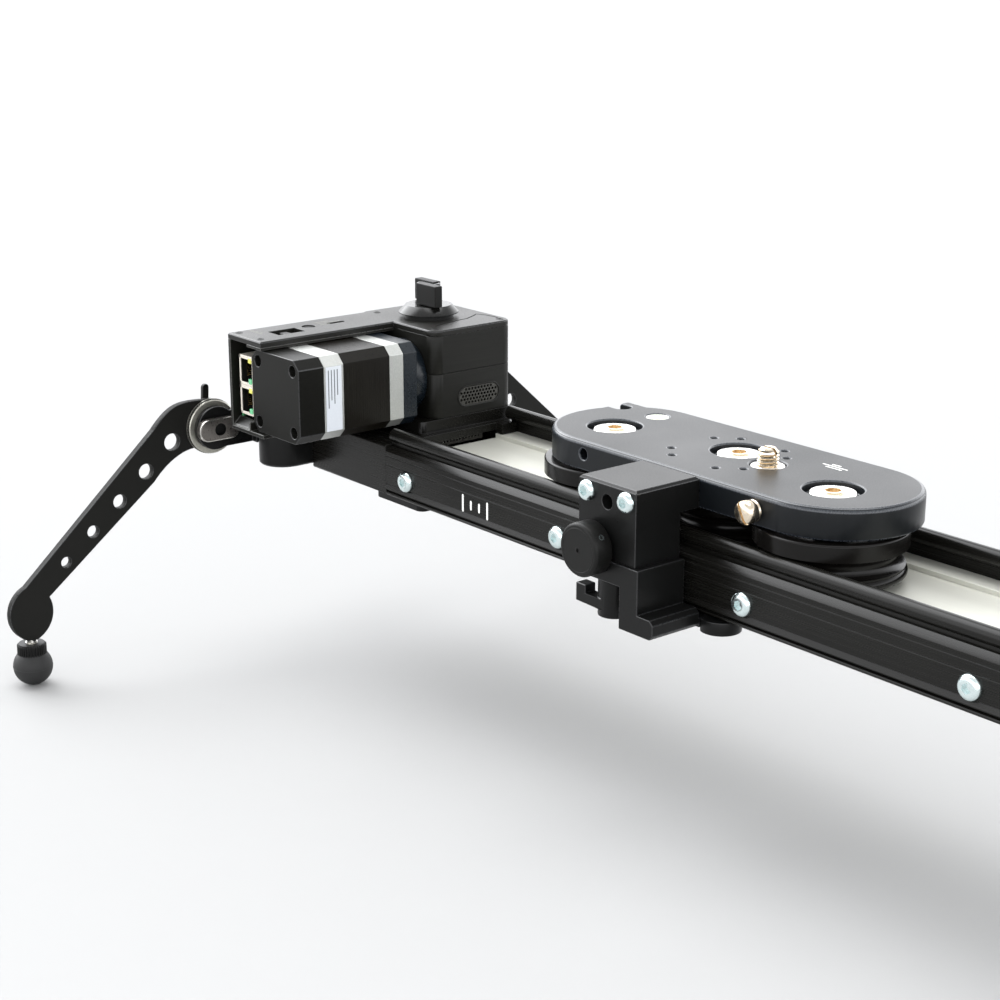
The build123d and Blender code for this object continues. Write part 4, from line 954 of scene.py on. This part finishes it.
def jack(name, bottom, top, replaces=()):
    """One shielded network jack on its side: tinned shell, black insert, gold contacts and two lights."""
    low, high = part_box("data_jacks")
    wall = 0.45 * MM
    mouth = low.y - 0.25 * MM
    lip = low.y + 0.2 * MM
    back = low.y + 16 * MM
    bm = bmesh.new()
    brick(bm, (low.x, low.y, bottom), (low.x + wall, back, top))
    brick(bm, (high.x - wall, low.y, bottom), (high.x, back, top))
    brick(bm, (low.x, low.y, bottom), (high.x, back, bottom + wall))
    brick(bm, (low.x, low.y, top - wall), (high.x, back, top))
    brick(bm, (low.x, mouth, bottom), (high.x, lip, bottom + 1.4 * MM))
    brick(bm, (low.x, mouth, top - 1.8 * MM), (high.x, lip, top))
    brick(bm, (low.x - 0.1 * MM, mouth, bottom), (low.x + 1.1 * MM, lip, top))
    piece(name + "_shell", bm, [SHIELD], "frame", replaces, bevel=0.1 * MM)

    front = low.y + 0.6 * MM
    ramp_back = low.y + 12 * MM
    inner = low.x + 1.6 * MM
    notch = 3.6 * MM
    bm = bmesh.new()
    brick(bm, (low.x + wall, low.y + 11.5 * MM, bottom + wall),
          (high.x - wall, low.y + 16.5 * MM, top - wall))
    brick(bm, (low.x + wall, front, bottom + wall), (inner, ramp_back, top - wall))
    brick(bm, (high.x - 1.5 * MM, front, bottom + notch), (high.x - wall, ramp_back, top - notch))
    piece(name + "_insert", bm, [KNOB], "frame")

    contact_pitch = 1.02 * MM
    half = 0.2 * MM
    bm = bmesh.new()
    for k in range(8):
        z = (bottom + top) / 2 + (k - 3.5) * contact_pitch
        brick(bm, (inner, low.y + 3.0 * MM, z - half), (low.x + 2.0 * MM, low.y + 11.6 * MM, z + half))
    piece(name + "_contacts", bm, [GOLD], "frame")

    half = 1.3 * MM
    inset = 2.2 * MM
    for colour, material, z in (("yellow", LIGHT_YELLOW, top - inset),
                                ("green", LIGHT_GREEN, bottom + inset)):
        bm = bmesh.new()
        brick(bm, (high.x - 3.4 * MM, low.y - 0.35 * MM, z - half),
              (high.x - 0.5 * MM, low.y + 2.6 * MM, z + half))
        piece(name + "_light_" + colour, bm, [material], "frame", bevel=0.2 * MM)


def jacks():
    """The two network jacks, one above the other."""
    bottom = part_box("data_jacks")[0].z
    height = 15.2 * MM
    step = height + 0.2 * MM
    jack("lower_jack", bottom, bottom + height, ("data_jacks",))
    jack("upper_jack", bottom + step, bottom + step + height)


def lid_details():
    """Dark strip painted as the shade of a curved groove, corner screws and generic marks on the lid."""
    top = LID_HIGH.z
    path = [(-10.5, -0.4), (-13.5, 8.5), (-15.4, 18.4), (-16.4, 25.2), (-20.2, 32.6), (-22.6, 36.1),
            (-17.0, 38.4), (-10.5, 39.0), (-2.0, 37.6)]
    half = 0.45 * MM
    points = [Vector((LID_HIGH.x + x * MM, y * MM)) for x, y in path]
    left = []
    right = []
    for i, point in enumerate(points):
        before = points[max(0, i - 1)]
        after = points[min(len(points) - 1, i + 1)]
        across = (after - before).normalized().orthogonal()
        left.append(point + across * half)
        right.append(point - across * half)
    # a flat dark strip laid on the lid, painted shade in place of a cut groove
    bm = bmesh.new()
    for i in range(len(points) - 1):
        prism(bm, [left[i], left[i + 1], right[i + 1], right[i]], top - 0.02 * MM, top + 0.03 * MM)
    piece("lid_groove_shade", bm, [GROOVE_SHADE], "frame")

    screw = offsets(0, 0, [(0, -0.3), (0.8, -0.3), (0.95, 0.12), (1.7, 0.18), (2.0, -0.05)])
    bm = bmesh.new()
    for x, y in ((-5, 37.5), (-5, -4.5)):
        lathe(bm, screw, Matrix.Translation((LID_HIGH.x + x * MM, y * MM, top)), 32)
    for x, y in ((7, 37.5), (7, -2), (5.5, -86.5), (25.5, -86.5)):
        lathe(bm, screw, Matrix.Translation((LID_LOW.x + x * MM, y * MM, top)), 32)
    piece("lid_screws", bm, [KNOB], "frame")

    # place, width and length of each mark in millimetres, X from the lid's drive end
    bm = bmesh.new()
    ticks = [(4.6 + 2.0 * i, -80.5, 0.9, 3.0 - 1.2 * (i % 2)) for i in range(6)]
    bars = [(9.0, -44, 0.8, 9.0), (12.0, -44, 0.8, 14.0), (15.0, -44, 0.8, 6.0)]
    for x, y, wide, long in ticks + bars:
        brick(bm, (LID_LOW.x + x * MM, y * MM, top - 0.02 * MM),
              (LID_LOW.x + (x + wide) * MM, (y + long) * MM, top + 0.035 * MM))
    piece("lid_marks", bm, [MARK_GREY], "frame")


def wing_knob():
    """Turned seat on its neck, and the knob with two offset wings round a ringed core."""
    low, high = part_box("clutch_collar")
    rim = (high.x - low.x) / 2
    height = high.z - low.z
    bore = 4.1 * MM
    neck = rim - 2.8 * MM
    seat = [(bore, 0), (neck, 0), (neck, 1.9 * MM)]
    seat += offsets(rim, 0, [(-0.4, 2.2), (0, 2.35), (0, 2.75), (-0.2, 3.0)])
    seat += offsets(rim, height, [(-3.5, -0.15), (-3.8, 0)]) + [(bore, height)]
    bm = bmesh.new()
    lathe(bm, seat, upright("clutch_collar", low.z), 128, closed=True)
    piece("clutch_seat_turned", bm, [GLOSS], "frame", ("clutch_collar",), smooth=25)

    node = "clutch_knob"
    foot_z = high.z + 0.3 * MM
    low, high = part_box(node)
    centre = mid(node)
    pin = 4.0 * MM
    core = 6.35 * MM
    top = high.z
    bm = bmesh.new()
    profile = [(0, low.z), (pin, low.z), (pin, foot_z), (core, foot_z)]
    profile += offsets(core, top, [(0, -0.9), (-0.35, -0.5), (-1.1, -0.45), (-1.5, -0.8)])
    lathe(bm, profile + [(0, top - 0.7 * MM)], upright(node), 96)
    piece("clutch_knob_core", bm, [GLOSS], node, (node,), smooth=25)
    wing_root = 2.4 * MM
    wing_tip = 14.1 * MM
    wing_inside = 1.55 * MM
    bm = bmesh.new()
    for side in (-1, 1):
        ends = sorted((centre.x - side * wing_root, centre.x + side * wing_tip))
        faces = sorted((centre.y - side * core, centre.y - side * wing_inside))
        brick(bm, (ends[0], faces[0], foot_z), (ends[1], faces[1], top))
    piece("clutch_knob_wings", bm, [KNOB], node, bevel=0.5 * MM, segments=3)


def toothed_belt():
    """Belt loop with moulded teeth on its inside, following both pulleys."""
    low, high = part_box("timing_belt")
    r = (high.y - low.y) / 2
    centre_y = (high.y + low.y) / 2
    span = (high.x - low.x) / 2 - r
    thick = 0.8 * MM
    tooth = 0.6 * MM
    pitch = 2.5 * MM
    straight = 2 * span
    loop_length = 2 * straight + math.tau * r
    count = round(loop_length / pitch)
    step = loop_length / count

    def at(distance, inset):
        """Place at a distance along the loop's outside, moved in by an inset."""
        distance %= loop_length
        reach = r - inset
        if distance < straight:
            return (-span + distance, centre_y - reach)
        distance -= straight
        if distance < math.pi * r:
            angle = -math.pi / 2 + distance / r
            return (span + reach * math.cos(angle), centre_y + reach * math.sin(angle))
        distance -= math.pi * r
        if distance < straight:
            return (span - distance, centre_y + reach)
        angle = math.pi / 2 + (distance - straight) / r
        return (-span + reach * math.cos(angle), centre_y + reach * math.sin(angle))

    bm = bmesh.new()
    rings = []
    for i in range(count):
        for share, inset in ((0.0, thick), (0.18, thick + tooth), (0.45, thick + tooth), (0.63, thick)):
            inner = at((i + share) * step, inset)
            outer = at((i + share) * step, 0.0)
            corners = [(*outer, low.z), (*outer, high.z), (*inner, high.z), (*inner, low.z)]
            rings.append(ring(bm, Matrix(), corners))
    bridge(bm, rings + rings[:1])
    piece("toothed_belt", bm, [RUBBER], "frame", ("timing_belt",), smooth=30)


def pulley(node, body):
    """Flanged timing pulley with its teeth."""
    low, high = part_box(node)
    base = upright(node, low.z)
    height = high.z - low.z
    outer = (high.x - low.x) / 2
    bore = 4.05 * MM
    flange = 1.1 * MM
    chamfer = 0.3 * MM
    bm = bmesh.new()
    for z in (0.0, height - flange):
        lathe(bm, [(bore, z), (outer - chamfer, z), (outer, z + chamfer), (outer, z + flange - chamfer),
                   (outer - chamfer, z + flange), (bore, z + flange)], base, 64, closed=True)
    outline = []
    teeth = 28
    root = 9.9 * MM
    crest = 10.6 * MM
    for i in range(teeth):
        for share, radius in ((0.0, crest), (0.4, crest), (0.5, root), (0.9, root)):
            angle = math.tau * (i + share) / teeth
            outline.append((radius * math.cos(angle), radius * math.sin(angle)))
    prism(bm, outline, 0.9 * MM, height - 0.9 * MM, base)
    piece(node + "_toothed", bm, [ALLOY], body, (node,), smooth=30)


dress_cad_nodes()
rail("near_rail", -1)
rail("far_rail", 1)
scale_bars()
button_screws("side_button_screws", "side_screws", "frame")
button_screws("block_button_screws", "carriage_screws", "carriage")
rosettes()
for corner in CORNERS:
    foot(corner)
    clamp(corner)
for node in ROLLERS:
    roller(node)
axle_bolts()
camera_screw()
spare_screw()
bubble_level()
plate_marks()
brake_details()
motor_stack()
motor_label()
grilles()
jacks()
lid_details()
wing_knob()
toothed_belt()
pulley("drive_pulley", "drive_shaft")
pulley("idler_pulley", "idler_pulley")


# ---- floor, light and camera ----
def floor():
    """A wide plain floor under the feet."""
    bm = bmesh.new()
    bmesh.ops.create_grid(bm, x_segments=4, y_segments=4, size=40)
    plane = new_object("floor", new_mesh("floor", bm))
    material = surface("floor_paper", (0.37, 0.37, 0.368), 0.8, specular=0.1, grain=40, spread=0.01)
    plane.data.materials.append(material)


SKY_GAIN = 2.9
SOFTBOX_GAIN = 6.0
SOFTBOX_DIRECTION = (-0.74, -0.10, 0.62)
SOFTBOX_CORE = 18
SOFTBOX_EDGE = 34


def lights():
    """A pale studio: a bright band round the horizon, softer overhead, and one high soft light."""
    sun = bpy.data.lights.new("high_softbox", "SUN")
    sun.energy = 1.2
    sun.angle = math.radians(40)
    obj = new_object("high_softbox", sun)
    obj.rotation_euler = Vector((0.1, -0.25, -1.0)).to_track_quat("-Z", "Y").to_euler()
    world = bpy.data.worlds.new("studio")
    world.use_nodes = True
    tree = world.node_tree
    link = tree.links.new
    background = tree.nodes["Background"]
    background.inputs["Color"].default_value = (0.97, 0.98, 1.0, 1)
    direction = add_node(tree, "TexCoord").outputs["Generated"]
    split = add_node(tree, "SeparateXYZ")
    link(direction, split.inputs["Vector"])
    band = add_node(tree, "ValToRGB")
    stops = band.color_ramp.elements
    stops[0].color = (0.5, 0.5, 0.5, 1)
    stops[1].color = (0.35, 0.35, 0.35, 1)
    for position, value in ((0.10, 1.0), (0.42, 1.0), (0.62, 0.35)):
        stops.new(position).color = (value, value, value, 1)
    link(split.outputs["Z"], band.inputs["Fac"])
    toward = add_node(tree, "VectorMath", {1: Vector(SOFTBOX_DIRECTION).normalized()}, "DOT_PRODUCT")
    link(direction, toward.inputs[0])
    patch = add_node(tree, "MapRange", {"From Min": math.cos(math.radians(SOFTBOX_EDGE)),
                                        "From Max": math.cos(math.radians(SOFTBOX_CORE)),
                                        "To Min": 0.0, "To Max": SOFTBOX_GAIN})
    patch.interpolation_type = "SMOOTHSTEP"
    link(toward.outputs["Value"], patch.inputs["Value"])
    gain = add_node(tree, "Math", {1: SKY_GAIN}, "MULTIPLY_ADD")
    link(band.outputs["Color"], gain.inputs[0])
    link(patch.outputs["Result"], gain.inputs[2])
    link(gain.outputs[0], background.inputs["Strength"])
    bpy.context.scene.world = world
    bpy.context.scene.view_settings.view_transform = "Standard"


def camera():
    """The photo's camera, solved together with the object's size."""
    data = bpy.data.cameras.new("camera")
    data.lens = 70.55
    data.sensor_width = 36
    obj = new_object("camera", data)
    obj.location = (0.35075, -0.5982, 0.3801)
    obj.rotation_euler = Vector((-0.7425, 0.6047, -0.2882)).to_track_quat("-Z", "Y").to_euler()
    bpy.context.scene.camera = obj


floor()
lights()
camera()
